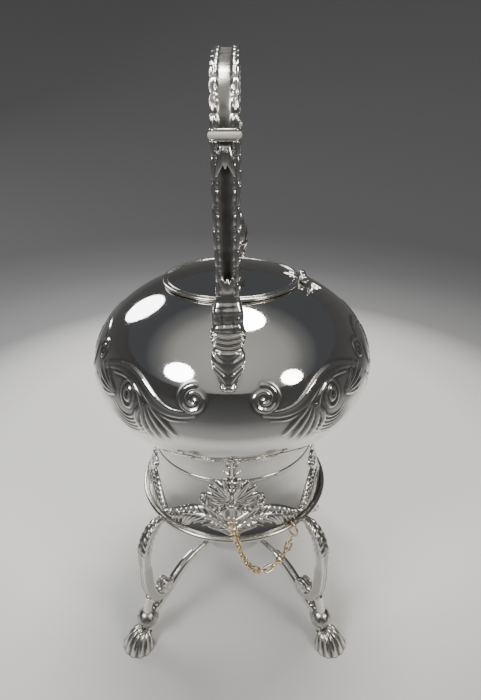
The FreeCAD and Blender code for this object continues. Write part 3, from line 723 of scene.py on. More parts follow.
def finial():
    """A fluted bud that rises out of a leafy cup on a short stem."""
    base = dome_height(0, 1.6)
    calyx = Mesh()
    foot = [(7.6, base - 0.5), (7.8, base + 0.6), (6.9, base + 1.5), (5.0, base + 2.2), (3.2, base + 3.6),
            (3.0, base + 5.6), (4.4, base + 6.6), (4.9, base + 7.4), (4.3, base + 8.2)]
    lathe(calyx, smooth_line(foot, 5), 120)
    cup = [(4.2, base + 8.0), (6.4, base + 9.2), (9.4, base + 12.4), (11.3, base + 16.4), (11.7, base + 18.4),
           (10.6, base + 18.9), (9.6, base + 17.6)]
    lathe(calyx, smooth_line(cup, 8), 160,
          lambda a, z: np.where(z < base + 18.0, 0.55 * np.abs(np.cos(4 * a)) ** 0.6 - 0.35,
                                0.2 * np.cos(8 * a)))
    calyx.make("finial_cup", CAST, "lid", ["finial_calyx"])

    bud = Mesh()
    top = high("finial_bud")[2] - 0.2
    side = [(9.6, base + 16.8), (10.6, base + 19.5), (11.2, base + 23.5), (10.6, base + 29), (8.8, base + 35),
            (6.2, base + 40), (3.8, base + 42.6), (2.0, top - 0.9), (0.3, top)]
    lathe(bud, smooth_line(side, 9), 200,
          lambda a, z: -1.25 * np.abs(np.sin(4 * (a + (z - base) * 0.012))) ** 0.7
          * np.clip((top - z) / 8, 0, 1) * np.clip((z - base - 17.5) / 3, 0, 1))
    for number in range(8):
        turn = number * TURN / 8
        spread = 0.34
        t = np.linspace(0, 1, 14)
        w = np.linspace(-1, 1, 9)
        z = base + 17.5 + 13.0 * t
        radius = np.interp(z, [p[1] for p in side], [p[0] for p in side])
        across = spread * np.sin(np.pi * np.clip(t * 0.86 + 0.14, 0, 1)) ** 0.7
        angle = turn + w[None, :] * across[:, None]
        out = radius[:, None] + 0.75 * (1 - np.abs(w[None, :]) ** 2) * (1 - t[:, None] ** 3) + 0.05
        bud.grid(np.stack([out * np.cos(angle), out * np.sin(angle), z[:, None] * np.ones(9)], -1),
                 recess=(np.abs(w)[None, :] ** 3 * np.ones((14, 9))))
    bud.make("finial_bud_fluted", CAST, "lid", ["finial_bud"])


# ---------------------------------------------------------------------------
# Handle
# ---------------------------------------------------------------------------

def border_relief(pitch, depth, centre_dip):
    """Raised edges with leaf scallops on their inner side, and a smooth, sunk middle."""
    def relief(x, s, face):
        wide = np.abs(x)
        rim = np.exp(-np.abs((wide - 0.88) / 0.13) ** 3)
        phase = s / pitch + 0.35 * np.sin(s / (1.7 * pitch))
        lobe = np.abs(np.sin(math.pi * phase)) ** 0.55
        turned = np.abs(np.sin(math.pi * (s - 3.0 * wide) / (0.62 * pitch))) ** 0.8
        scallop = np.exp(-np.abs((wide - 0.68 + 0.10 * lobe) / 0.11) ** 3) * (0.2 + 0.8 * lobe * turned)
        middle = np.clip(1 - (x / 0.54) ** 4, 0, 1)
        facing = np.clip(np.abs(face) * 1.6, 0, 1)
        return facing * (rim * (0.45 + 0.85 * depth * lobe) + scallop * depth - centre_dip * middle)
    return relief


def handle_line():
    """The grip's centre line, from the rear heat break over the lid to the front one."""
    corner = 30.0
    rise = math.radians(20.0)
    angle = np.radians(np.linspace(180, 110, 26))
    rear = np.stack([ARM_Y + corner + corner * np.cos(angle), GRIP_LOW + corner * np.sin(angle)], 1)
    arch = -rear[-1][0] / math.sin(rise)
    sweep_angle = np.linspace(-rise, rise, 60)[1:-1]
    crown = rear[-1][1] - arch * math.cos(rise)
    top = np.stack([arch * np.sin(sweep_angle), crown + arch * np.cos(sweep_angle)], 1)
    front = rear[::-1] * np.array([-1, 1])
    line = np.vstack([rear, top, front])
    return np.stack([np.zeros(len(line)), line[:, 0], line[:, 1]], 1)


def resampled(line, count):
    steps = np.linalg.norm(np.diff(line, axis=0), axis=1)
    s = np.concatenate([[0], np.cumsum(steps)])
    at = np.linspace(0, s[-1], count)
    return np.stack([np.interp(at, s, line[:, k]) for k in range(line.shape[1])], 1)


def mount_relief(x, s, face):
    """A curled foot, an acanthus leaf, three sagging ring mouldings and a pitted husk on a handle socket."""
    wide = np.abs(x)
    leaf = 1.3 * np.abs(np.sin(math.pi * (s - 9.0 * wide) / 7.4)) ** 0.6
    leaf = leaf * np.clip((wide - 0.14) / 0.16, 0, 1) * np.clip((23.0 - s) / 1.5, 0, 1)
    vein = 1.1 * np.exp(-(x / 0.11) ** 2) * np.clip((23.0 - s) / 2, 0, 1)
    curl_end = 1.3 * np.exp(-((s - 2.2) / 1.6) ** 2)
    rings = sum(1.6 * np.exp(-np.abs((s - place - 2.6 * x ** 2) / 1.05) ** 3) for place in (24.4, 27.6, 30.6))
    husk = np.clip((s - 33.0) / 1.5, 0, 1) * (1.1 * np.abs(np.cos(1.55 * math.pi * x)) ** 0.7
                                              + 0.3 * np.sin(0.9 * s + 5 * x) * np.sin(6 * x - 0.5 * s))
    facing = np.clip(np.abs(face) * 1.5, 0, 1)
    return facing * (leaf + vein + curl_end + rings + husk * np.clip((50.0 - s) / 4, 0, 1))


def handle():
    line = smooth_line([(0, -95.2, 252.5), (0, -94.0, 259), (0, -90.5, 268), (0, -86.5, 279), (0, -83.5, 290),
                        (0, -82.2, 299), (0, ARM_FOOT_Y, ARM_LOW + 1.2)], 16)
    line = resampled(line, 130)
    widths = [3.6, 4.4, 6.2, 8.4, 9.4, 9.2, 8.0, 9.5, 9.6, 8.5, 8.7, 8.2, 7.0, 6.0]
    depths = [2.0, 2.4, 3.0, 3.6, 4.2, 4.4, 3.9, 4.8, 4.8, 4.2, 4.3, 4.0, 3.4, 3.0]
    web = smooth_line([(0, -90, 256), (0, -84, 266), (0, -79, 276), (0, -79, 286), (0, -80, 296)], 10)
    for side in ("rear", "front"):
        socket = Mesh()
        sweep(socket, line, (1, 0, 0), widths, depths, 0.62, 64, mount_relief)
        sweep(socket, web, (1, 0, 0), [3.0, 6.4, 7.6, 7.0, 5.6], [3.0, 6.0, 5.0, 3.6, 2.2], 0.7, 40)
        if side == "front":
            flip_front(socket)
        socket.make("handle_socket_" + side, CAST, "kettle", ["handle_mount_" + side])

    for side, sign in (("rear", 1), ("front", -1)):
        arm = Mesh()
        arm_line = np.stack([np.zeros(150), np.linspace(ARM_FOOT_Y, ARM_Y, 150),
                             np.linspace(ARM_LOW, ARM_TOP - 1.0, 150)], 1)
        sweep(arm, arm_line, (1, 0, 0), [6.2, 5.6, 6.2, 6.7, 6.8, 6.9, 6.9, 6.9],
              [2.9, 2.5, 2.5, 2.6, 2.6, 2.6, 2.6, 2.6], 0.42, 84, border_relief(9.6, 1.25, 1.3))
        # a turned-over leaf at each end of the arm
        for z0, z1 in ((ARM_LOW + 0.5, ARM_LOW + 13.0), (ARM_TOP - 3.0, ARM_TOP - 17.0)):
            reach = np.linspace(0, 1, 18)
            for lean in (-1, 0, 1):
                leaf = np.stack([lean * (1.2 + 3.4 * reach ** 1.4),
                                 ARM_Y - 2.3 - 1.1 * np.sin(math.pi * (0.15 + 0.75 * reach)),
                                 z0 + (z1 - z0) * reach * (1.0 if lean else 0.74)], 1)
                sweep(arm, leaf, (1, 0, 0), [1.5, 2.0, 1.7, 0.5], [0.8, 1.2, 1.1, 0.5], 0.9, 20)
        # a thin flange under the heat break
        collar = np.array([(0, ARM_Y, ARM_TOP - 1.2), (0, ARM_Y, ARM_TOP - 0.6), (0, ARM_Y, ARM_TOP - 0.02)])
        sweep(arm, collar, (1, 0, 0), [7.1, 7.7, 7.3], [3.4, 4.0, 3.7], 0.5, 48)
        if sign < 0:
            flip_front(arm)
        arm.make("handle_arm_leafy_" + side, CAST, "kettle", ["handle_arm_" + side])

        washer = Mesh()
        z = ARM_TOP + (GRIP_LOW - ARM_TOP) * np.array([0.01, 0.12, 0.5, 0.88, 0.99])
        spool = np.stack([np.zeros(5), np.full(5, ARM_Y * sign), z], 1)
        sweep(washer, spool, (1, 0, 0), [7.6, 8.2, 8.25, 8.2, 7.6], [4.2, 4.9, 5.0, 4.9, 4.2], 0.5, 64)
        washer.make("handle_heat_break_" + side, INSULATOR, "kettle", ["handle_insulator_" + side])

    grip = Mesh()
    sweep(grip, resampled(handle_line(), 520), (1, 0, 0), [6.7, 6.8, 7.0, 7.05, 7.0, 7.05, 7.0, 6.8, 6.7],
          2.2, 0.42, 84, border_relief(8.6, 1.15, 0.5))
    for sign in (1, -1):
        collar = np.array([(0, ARM_Y * sign, GRIP_LOW + 0.02), (0, ARM_Y * sign, GRIP_LOW + 0.8),
                           (0, ARM_Y * sign, GRIP_LOW + 1.5)])
        sweep(grip, collar, (1, 0, 0), [7.2, 7.5, 7.0], [3.6, 3.9, 3.3], 0.5, 48)
    grip.make("handle_grip_leafy", CAST, "kettle", ["handle_grip"])


def flip_front(mesh):
    """Turns a rear piece into its front twin, mirrored across the XZ plane."""
    for points in mesh.points:
        points[:, 1] *= -1
    mesh.faces = [list(reversed(face)) for face in mesh.faces]


# ---------------------------------------------------------------------------
# Spout
# ---------------------------------------------------------------------------

# centre line in the handle's plane and outer radius, from inside the body to the lip
SPOUT = [(90.0, 211.5, 17.5), (97.0, 212.4, 15.4), (104.0, 214.4, 13.0), (111.0, 217.8, 11.5),
         (118.0, 223.2, 10.2), (124.0, 231.5, 9.2), (128.0, 241.0, 8.5), (131.6, 251.0, 7.9),
         (136.0, 260.5, 7.5), (142.6, 269.0, 7.2), (150.2, 276.2, 6.6)]


def spout():
    """A swan neck with a lobed root, a leaf up its breast and a cut lip."""
    guide = smooth_line(SPOUT, 16)
    line = np.stack([np.zeros(len(guide)), guide[:, 0], guide[:, 1]], 1)
    radius = guide[:, 2]
    tangent, out = frames_along(line, (1, 0, 0))
    around = 112
    angle = np.linspace(0, TURN, around, endpoint=False)
    s = np.concatenate([[0], np.cumsum(np.linalg.norm(np.diff(line, axis=0), axis=1))])
    u = ((angle + math.pi) % TURN - math.pi)[None, :] * np.ones(len(s))[:, None]
    sides = s[:, None] * np.ones(around)
    # the leaf on the underside: a vein with paired lobes, and gadroon lobes round the root
    breast = np.abs(((angle - math.pi * 1.5 + math.pi) % TURN) - math.pi)[None, :] * radius[:, None]
    lobes = np.abs(np.sin(math.pi * (sides + 0.9 * breast) / 7.5)) ** 0.7
    leaf_width = np.interp(s, [0, 10, 26, 44, 58], [12, 15, 11, 6.5, 0.2])[:, None]
    inside = np.clip((leaf_width - breast) / 1.2, 0, 1)
    vein = 0.8 * np.exp(-(breast / 0.9) ** 2) * np.clip((leaf_width - 0.4) / 2, 0, 1)
    lift = inside * (0.55 + 0.8 * lobes * np.clip(breast / 3.0, 0.25, 1)) + vein
    gadroon = np.abs(np.cos(6 * u)) ** 0.8 * np.clip(1 - (sides - 6) / 14, 0, 1)
    lift = np.maximum(lift, 1.0 * gadroon)
    collar = sum(0.9 * np.exp(-((sides - at) / 0.9) ** 2) for at in (s[-1] - 7.5, s[-1] - 10.0))
    lift = lift + collar
    sideways = np.cos(angle)[:, None] * np.array([1.0, 0, 0])

    def loop(place, outward, r):
        """A ring of points round a place, square to the neck."""
        return place + r * (sideways + np.sin(angle)[:, None] * outward)

    points = loop(line[:, None, :], out[:, None, :], (radius[:, None] + lift)[..., None])
    mesh = Mesh()
    # the lip rolls over and the bore runs back down inside
    lip_angle = np.radians(np.linspace(90, 270, 9))
    lip_points = []
    end = line[-1]
    direction = tangent[-1]
    for turn in lip_angle:
        r = radius[-1] - 0.7 + 0.7 * math.sin(turn)
        push = -0.7 * math.cos(turn)
        lip_points.append(loop(end + direction * push, out[-1], r))
    bore_rows = list(range(len(s) - 2, 20, -6))
    bore = [loop(line[i], out[i], radius[i] - 1.5) for i in bore_rows]
    whole = np.concatenate([points[:-1], np.array(lip_points), np.array(bore)])
    recess = np.concatenate([recess_of(lift, 1.2)[:-1], np.zeros((9, around)),
                             np.full((len(bore_rows), around), 0.8)])
    mesh.grid(whole, wrap_u=True, recess=recess, flip=True)
    mesh.make("spout_swan_neck", CAST, "kettle", ["spout"])


# ---------------------------------------------------------------------------
# Stand: ring, apron and its four acanthus sprays
# ---------------------------------------------------------------------------

APRON_BAND_Z = 158.0
APRON_LIP_R, APRON_LIP_Z = 65.4, 176.2
APRON_PROFILE = smooth_line([(73.4, 113.6), (71.2, 118.0), (68.4, 126.0), (65.8, 136.0), (64.2, 147.0),
                             (63.5, APRON_BAND_Z), (64.0, 166.0), (APRON_LIP_R, APRON_LIP_Z)], 14)


def apron_surface(azimuth, z, lift):
    """A point over the apron; azimuth from the back towards +X."""
    radius = np.interp(z, APRON_PROFILE[:, 1], APRON_PROFILE[:, 0])
    slope = np.interp(z, APRON_PROFILE[:, 1], np.gradient(APRON_PROFILE[:, 0], APRON_PROFILE[:, 1]))
    level = 1 / np.sqrt(1 + slope ** 2)
    out = radius + lift * level
    return np.stack([out * np.sin(azimuth), -out * np.cos(azimuth), z - lift * slope * level], -1)


def apron():
    mesh = Mesh()
    outer = [tuple(p) for p in APRON_PROFILE]
    at = int(np.argmin(np.abs(APRON_PROFILE[:, 1] - APRON_BAND_Z)))
    bead = [(63.1 + 0.7 * math.cos(t), APRON_BAND_Z + 0.9 * math.sin(t)) for t in np.linspace(-1.4, 1.4, 9)]
    outer = outer[:at - 2] + bead + [p for p in outer[at:] if p[1] > 159.4]
    lip = [(APRON_LIP_R - 0.6 + 0.6 * math.cos(t), APRON_LIP_Z - 0.1 + 0.5 * math.sin(t))
           for t in np.linspace(0.4, math.pi - 0.3, 7)]
    inner = [(r - SHEET, z) for r, z in APRON_PROFILE[::-2]]
    profile = outer + lip + inner
    # painted shade: its colour is darkened all over, least round its waist and most towards the ring and the
    # lip
    height = np.array([z for _, z in profile])
    lathe(mesh, profile, 256, closed=True,
          tarnish_and_shade=0.26 + 0.30 * np.clip(np.abs(height - 141.0) / 34.0, 0, 1) ** 2)
    mesh.make("apron_spun", POLISHED, "stand", ["apron"])

    ring = Mesh()
    turn = np.linspace(0, TURN, 25)[:-1]
    wire = WIRE_RING_WIRE - 0.02
    lathe(ring, [(RING_R + wire * math.cos(t), RING_Z + wire * math.sin(t)) for t in turn], 288, closed=True)
    ring.make("stand_ring_wire", FITTINGS, "stand", ["stand_ring"])


def mirror_strokes(strokes):
    return strokes + [Stroke(s.path * np.array([-1, 1]), s.width, s.height, s.kind) for s in strokes]


def curl(start, heading, bend, length, count=10):
    """A path that leaves a point at a heading in degrees and bends evenly to its end."""
    turns = np.radians(heading + bend * np.linspace(0, 1, count))
    steps = np.stack([np.cos(turns), np.sin(turns)], 1) * length / count
    return np.vstack([[start], np.asarray(start, float) + np.cumsum(steps, axis=0)])


def spray_strokes():
    """The cast acanthus spray: stem, fan, scrolls and two long branches; u across, v above the ring."""
    one = [
        Stroke([(0.0, 42), (0.0, 53), (0.0, 62.0)], (2.4, 1.6, 1.2), (2.1, 1.8, 1.2)),
        Stroke(curl((0.6, 47), 62, -30, 9.0), (1.0, 1.5, 0.5), (1.8, 1.8, 0.9)),
        Stroke(curl((0.5, 55), 60, -34, 6.0), (0.8, 1.2, 0.4), (1.6, 1.5, 0.8)),
    ]
    # the fan of upright leaves round the locking pin's boss
    for heading, length in ((80, 18), (58, 18.5), (37, 19), (16, 17.5), (-4, 13)):
        one.append(Stroke(curl((1.5, 27.0), heading, -6, length), (1.2, 2.6, 3.9, 2.4), (1.7, 2.3, 2.8, 1.6)))
        one.append(Stroke(curl((1.5, 27.0), heading, -6, length - 1.5), (0.3, 0.6, 0.6, 0.3),
                          (0.5, 1.0, 1.0, 0.4), "groove"))
    # scrolls that hang from the fan, and the drop between the branches
    one += [
        Stroke(spiral((22.6, 25.6), 200, -1.35, 0.8, 4.1), (0.8, 1.1, 1.5), (2.2, 2.3, 2.0)),
        Stroke(spiral((8.8, 20.6), 95, -1.35, 0.8, 4.0), (0.8, 1.1, 1.5), (2.4, 2.4, 2.1)),
        Stroke(smooth_line([(22, 21.4), (15.5, 19.0), (9, 15.6), (2.5, 12.5)]), (1.5, 1.9, 1.5),
               (2.0, 2.4, 2.2)),
        Stroke([(0, 30), (0, 20), (0, 10), (0, 2.4)], (2.6, 2.9, 1.7), (2.6, 2.9, 2.0), "leaf"),
    ]
    # a long branch: backing, rib, curled lobes above it and plumes below it
    rib = smooth_line([(1.0, 5.0), (8, 9.2), (18, 13.0), (28, 13.2), (38, 10.0), (46, 6.0), (53, 2.4)])
    slope = np.degrees(np.arctan2(*np.gradient(rib, axis=0).T[::-1]))
    one.append(Stroke(rib, (5.0, 8.0, 7.0, 5.0, 2.0), (0.9, 1.0, 0.9, 0.8, 0.4)))
    one.append(Stroke(rib, (2.1, 1.8, 1.5, 0.8), (2.6, 2.5, 2.1, 1.2)))
    for number, (above, below) in enumerate(((7.0, 5.4), (9.8, 8.6), (11.4, 12.0), (11.2, 14.4), (10.4, 15.0),
                                             (9.6, 14.0), (8.8, 12.2), (8.0, 10.2), (6.8, 8.2), (5.6, 6.4),
                                             (4.6, 5.0), (3.4, 3.4))):
        at = int((0.05 + 0.078 * number) * (len(rib) - 1))
        one.append(Stroke(curl(rib[at], slope[at] + 66, -74, above), (1.3, 2.2, 1.1), (1.7, 2.2, 1.3)))
        one.append(Stroke(curl(rib[at], slope[at] - 26, -40, below * 1.16), (1.2, 2.0, 1.5, 0.7),
                          (1.6, 2.4, 2.0, 1.1)))
    return mirror_strokes(one)


def sprays():
    step = 0.36
    u, v = np.meshgrid(np.arange(-54.0, 54.01, step), np.arange(0.4, 64.2, step))
    lift = raised(spray_strokes(), u, v)
    field = np.where(lift > 0.04, lift, -0.7)
    keep = blur((lift > 0.04).astype(float), 2) > 0.02
    for name, angle in SIDES.items():
        points = apron_surface(u / 69.0 + math.radians(angle), v + APRON_LOW + 0.8, blur(field, 1))
        mesh = Mesh()
        mesh.grid(points, recess=recess_of(lift, 0.8), keep=keep)
        mesh.make("apron_acanthus_" + name, CAST, "stand", ["apron_leaf_" + name])


# ---------------------------------------------------------------------------
# Legs, feet and braces, drawn in a leg's own plane: distance from the axis, and height
# ---------------------------------------------------------------------------

def in_plane(pairs, steps=14):
    line = smooth_line(pairs, steps)
    return np.stack([line[:, 0], np.zeros(len(line)), line[:, 1]], 1)


def leg_relief(total):
    def relief(x, s, face):
        """Leafy shoulder, smooth middle and a fluted lower scroll."""
        t = s / total
        shoulder = np.clip((0.30 - t) / 0.05, 0, 1) * np.clip((t - 0.02) / 0.03, 0, 1)
        lower = np.clip((t - 0.37) / 0.05, 0, 1)
        side_lobes = np.abs(np.sin(math.pi * (s - 4.6 * np.abs(x)) / 5.4)) ** 0.7
        side_lobes = side_lobes * np.clip((np.abs(x) - 0.16) / 0.15, 0, 1)
        flute = np.abs(np.sin(2.0 * math.pi * x)) ** 0.7
        vein = np.exp(-(x / 0.13) ** 2)
        edge = np.exp(-((np.abs(x) - 0.9) / 0.12) ** 2)
        facing = np.clip(np.abs(face) * 1.5, 0, 1)
        return facing * (shoulder * (1.0 * side_lobes + 0.8 * vein) + lower * (1.05 * flute + 0.3 * edge)
                         + 0.35 * edge)
    return relief


def leg_tarnish(total):
    def tarnish_and_shade(x, s, face):
        """The sunk panel down the upper leg and the flutes below it are seldom rubbed."""
        t = s / total
        upper = np.clip((t - 0.05) / 0.04, 0, 1)
        panel = np.clip((0.62 - np.abs(x)) / 0.14, 0, 1) * upper * np.clip((0.42 - t) / 0.05, 0, 1)
        flutes = np.clip(0.75 - np.abs(np.sin(2.0 * math.pi * x)), 0, 1) * np.clip((t - 0.38) / 0.04, 0, 1)
        return np.clip(np.abs(face) * 1.5, 0, 1) * np.maximum(0.62 * panel, 1.1 * flutes)
    return tarnish_and_shade


LEG_PATH = [(76.6, 113.8), (83.0, 112.2), (89.6, 106.6), (94.2, 98.4), (96.4, 87.0), (96.9, 74.0),
            (96.6, 61.0), (95.2, 50.0), (91.6, 41.8), (85.6, 38.0), (79.9, 39.4), (77.9, 43.9), (80.6, 46.9),
            (84.2, 45.2), (83.8, 41.8)]

SCROLL_EYE = (81.6, 42.4)
KNEE = (100.0, 21.6)
KNEE_R = 8.4


def legs():
    path = resampled(in_plane(LEG_PATH, 16), 300)
    total = np.linalg.norm(np.diff(path, axis=0), axis=1).sum()
    stem = in_plane([(95.6, 42.0), (98.0, 35.0), (99.6, 28.0), (100.4, 22.0)])
    for corner, angle in CORNERS.items():
        mesh = Mesh()
        sweep(mesh, path, (0, 1, 0), [2.6, 3.8, 4.6, 5.0, 5.0, 4.9, 4.8, 4.8, 4.9, 4.9, 4.8, 4.7, 4.4],
              [2.2, 3.0, 3.7, 4.0, 3.8, 3.6, 3.6, 3.6, 3.3, 2.7, 2.2, 1.8, 1.4], 0.66, 64, leg_relief(total),
              tarnish_and_shade=leg_tarnish(total))
        sweep(mesh, stem, (0, 1, 0), [3.6, 3.4, 4.2], [3.4, 3.2, 4.4], 0.85, 36)
        knee_leaves(mesh)
        scroll_buttons(mesh)
        mesh.turned([angle])
        mesh.make("leg_scroll_" + corner, CAST, "stand", ["leg_" + corner])


def knee_leaves(mesh):
    """The knee: a ball gripped by overlapping acanthus lobes."""
    tall, around = 44, 72
    tilt = np.linspace(-math.pi / 2 + 0.06, math.pi / 2 - 0.06, tall)[:, None]
    turn = np.linspace(0, TURN, around, endpoint=False)[None, :]
    rise = np.sin(tilt)
    lobes = 0.55 * np.abs(np.cos(3.5 * turn)) ** 0.7 * np.clip(np.cos(tilt), 0, 1) ** 0.6
    lobes = lobes * (0.35 + 0.65 * np.clip(-np.cos(turn), 0, 1))
    tips = 0.5 * np.exp(-((rise - 0.45 + 0.4 * np.abs(np.cos(3.5 * turn))) / 0.18) ** 2)
    radius = KNEE_R + lobes + tips
    x = KNEE[0] + radius * np.cos(tilt) * np.cos(turn)
    y = radius * 0.96 * np.cos(tilt) * np.sin(turn)
    z = KNEE[1] + radius * 1.06 * rise * np.ones_like(turn)
    recess = np.clip(0.9 - lobes, 0, 1) * 0.7 * np.ones((tall, around))
    mesh.grid(np.stack([x, y, z], -1), wrap_u=True, recess=recess, caps="first last")


def scroll_buttons(mesh):
    """The round bosses at the eye of the lower scroll, one on each face."""
    for sign in (-1, 1):
        profile = np.array([(0.3, 5.9), (1.6, 5.7), (2.2, 5.0), (2.9, 5.1), (3.8, 4.7), (4.3, 3.6),
                            (4.4, 0.0)])
        turn = np.linspace(0, TURN, 28, endpoint=False)
        x = SCROLL_EYE[0] + profile[:, 0][:, None] * np.cos(turn)
        z = SCROLL_EYE[1] + profile[:, 0][:, None] * np.sin(turn)
        y = sign * profile[:, 1][:, None] * np.ones(28)
        mesh.grid(np.stack([x, y, z], -1), wrap_u=True, flip=sign > 0)
    # the casting is solid between the curl and the leg
    tilt = np.linspace(-1.5, 1.5, 16)[:, None]
    turn = np.linspace(0, TURN, 24, endpoint=False)[None, :]
    web = np.stack([87.0 + 4.6 * np.cos(tilt) * np.cos(turn), 3.7 * np.cos(tilt) * np.sin(turn),
                    42.6 + 4.4 * np.sin(tilt) * np.ones_like(turn)], -1)
    mesh.grid(web, wrap_u=True, caps="first last")


def shell_feet():
    """Scallop shells: ribs that spread from the ankle over a low dome to a scalloped rim on the table."""
    ribs, radius, centre = 11, 13.3, 111.2
    opening = 158                                     # the ribs fan out this far to each side, in degrees
    hinge = np.array([101.6, 0.0, 11.6])
    for corner, angle in CORNERS.items():
        phi = np.radians(np.linspace(-opening, opening, 210))[None, :]
        t = np.linspace(0, 1, 40)[:, None]
        wave = 0.5 + 0.5 * np.cos(phi / math.radians(opening) * math.pi * ribs + math.pi * (ribs + 1))
        rim = radius * (1 + 0.035 * wave)
        rim_x = centre + 0.90 * rim * np.cos(phi)
        rim_y = 1.0 * rim * np.sin(phi)
        x = hinge[0] + (rim_x - hinge[0]) * t
        y = hinge[1] + (rim_y - hinge[1]) * t
        dome = hinge[2] * (1 - t ** 2.6) + 3.0 * np.sin(math.pi * t ** 0.8) * np.cos(phi / 2) ** 2
        ripple = 1.15 * (wave ** 0.7 - 0.45) * np.clip(t * 2.4, 0, 1) * np.clip((1.0 - t) * 7, 0, 1)
        z = np.clip(dome + ripple, 0.0, 15.0)
        z[-1] = 0.0
        recess = np.clip(0.8 - wave, 0, 1) * np.clip(t * 2.0, 0, 1)
        top = np.stack([x, y, z], -1)
        hub = np.stack([np.full_like(x[:1], centre - 3.0), np.zeros_like(x[:1]), np.zeros_like(x[:1])], -1)
        mesh = Mesh()
        mesh.grid(np.concatenate([top, hub]), recess=np.concatenate([recess, recess[-1:] * 0]))
        # the rolled hinge behind the ribs, and the ankle that joins it to the knee
        roll = np.array([(101.4, -5.6, 8.6), (101.0, -3.0, 10.6), (100.9, 0, 11.2), (101.0, 3.0, 10.6),
                         (101.4, 5.6, 8.6)])
        thick = [1.4, 2.4, 2.6, 2.4, 1.4]
        sweep(mesh, resampled(smooth_line(roll, 6), 24), (1, 0, 0), thick, thick, 1.0, 24)
        ankle = in_plane([(100.4, 20.0), (100.8, 14.0), (102.4, 8.0), (105.0, 2.4)], 8)
        sweep(mesh, ankle, (0, 1, 0), [4.4, 4.2, 5.0, 4.6], [3.6, 3.4, 3.6, 3.0], 0.9, 48,
              lambda x_, s_, f_: 0.6 * np.abs(np.sin(2.5 * math.pi * x_)) * np.ones_like(s_))
        mesh.turned([angle])
        mesh.make("foot_shell_" + corner, CAST, "stand", ["foot_" + corner])


def braces():
    path = resampled(in_plane([(94.6, 25.6), (86.0, 30.4), (77.0, 37.6), (68.0, 45.2), (59.5, 50.8),
                               (49.4, 54.2)]), 110)
    tip = path[-1]
    for corner, angle in CORNERS.items():
        mesh = Mesh()
        sweep(mesh, path, (0, 1, 0), [4.2, 4.4, 4.6, 4.5, 4.1, 3.8], [4.0, 4.2, 4.4, 4.3, 4.0, 3.8], 0.9, 40,
              lambda x, s, f: 0.45 * np.exp(-((s - 4) / 1.2) ** 2) + 0.4 * np.exp(-((s - 7.2) / 1.0) ** 2),
              caps="first")
        # the sleeve's rolled end, and its bore
        direction = (path[-1] - path[-3]) / np.linalg.norm(path[-1] - path[-3])
        end = np.array([tip - direction * 0.4, tip + direction * 0.2, tip + direction * 0.5,
                        tip + direction * 0.4, tip - direction * 3.0])
        thick = [3.7, 3.75, 3.3, 2.6, 2.5]
        sweep(mesh, end, (0, 1, 0), thick, thick, 1.0, 40, caps="")
        mesh.turned([angle])
        mesh.make("brace_sleeve_" + corner, CAST, "stand", ["brace_" + corner])
    bars = Mesh()
    bar = np.array([(54.0, 0, 53.3), (46.0, 0, 54.5), (39.0, 0, 55.5), (33.6, 0, 56.4)])
    sweep(bars, resampled(bar, 12), (0, 1, 0), 2.38, 2.38, 1.0, 32)
    bars.turned(sorted(CORNERS.values()))
    bars.make("burner_bar_rods", FITTINGS, "stand", ["burner_bars"])


# ---------------------------------------------------------------------------
# Tilting hinge, locking pin and chain
# ---------------------------------------------------------------------------

def barrel(mesh, centre, axis, profile, around=36):
    """A turned piece along X (0) or Y (1): profile is (distance along the axis, radius)."""
    profile = np.asarray(profile, float)
    turn = np.linspace(0, TURN, around, endpoint=False)
    r = profile[:, 1][:, None]
    along = profile[:, 0][:, None] * np.ones(around)
    first, second = r * np.cos(turn), r * np.sin(turn)
    if axis == 0:
        points = np.stack([along, first, second], -1)
    else:
        points = np.stack([-first, along, second], -1)
    mesh.grid(points + np.asarray(centre, float), wrap_u=True, caps="first last", flip=True)


def tilt_hinge():
    """Two ringed cheeks on the apron, the kettle's knuckle between them, and a pin with ball ends."""
    y, z = TILT[1], TILT[2]
    stand_side = Mesh()
    for x0, x1 in ((-11.4, -6.1), (6.1, 11.4)):
        barrel(stand_side, (0, y, z), 0, [(x0, 1.7), (x0, 3.5), (x0 + 0.5, 3.95), (x0 + 1.8, 3.95),
                                          (x0 + 2.4, 3.5), (x1 - 1.6, 3.5), (x1 - 0.9, 3.95),
                                          (x1 - 0.4, 3.95), (x1, 3.5), (x1, 1.7)])
        middle = (x0 + x1) / 2
        arm = np.array([(middle, 65.6, 158.8), (middle, 67.6, 161.2), (middle, 70.2, 165.0),
                        (middle, 72.6, 170.0)])
        sweep(stand_side, smooth_line(arm, 8), (1, 0, 0), [2.5, 2.3, 2.1, 2.4], [1.6, 2.2, 2.5, 2.6], 0.6, 32)
    stand_side.make("tilt_hinge_cheeks", CAST, "stand", ["tilt_bracket"])

    pin = Mesh()
    shank = [(-16.4, 0.4), (-16.0, 1.6), (-14.9, 2.45), (-13.7, 2.5), (-12.6, 1.9), (-12.0, 1.55)]
    barrel(pin, (0, y, z), 0, shank + [(-a, r) for a, r in reversed(shank)])
    pin.make("tilt_hinge_pin", FITTINGS, "stand", ["tilt_pin"])

    lug = Mesh()
    barrel(lug, (0, y, z), 0, [(-5.4, 1.7), (-5.4, 3.4), (-4.8, 3.9), (-3.4, 3.9), (-2.6, 3.4), (2.6, 3.4),
                               (3.4, 3.9), (4.8, 3.9), (5.4, 3.4), (5.4, 1.7)])
    hanger = np.array([(0, y, z + 2.0), (0, y + 0.6, z + 5.0), (0, y + 0.4, z + 8.0), (0, y - 1.0, z + 11.5)])
    sweep(lug, smooth_line(hanger, 8), (1, 0, 0), [4.6, 4.4, 4.9, 5.4], [2.4, 2.6, 3.0, 3.4], 0.6, 40)
    lug.make("tilt_hinge_knuckle", CAST, "kettle", ["tilt_lug"])


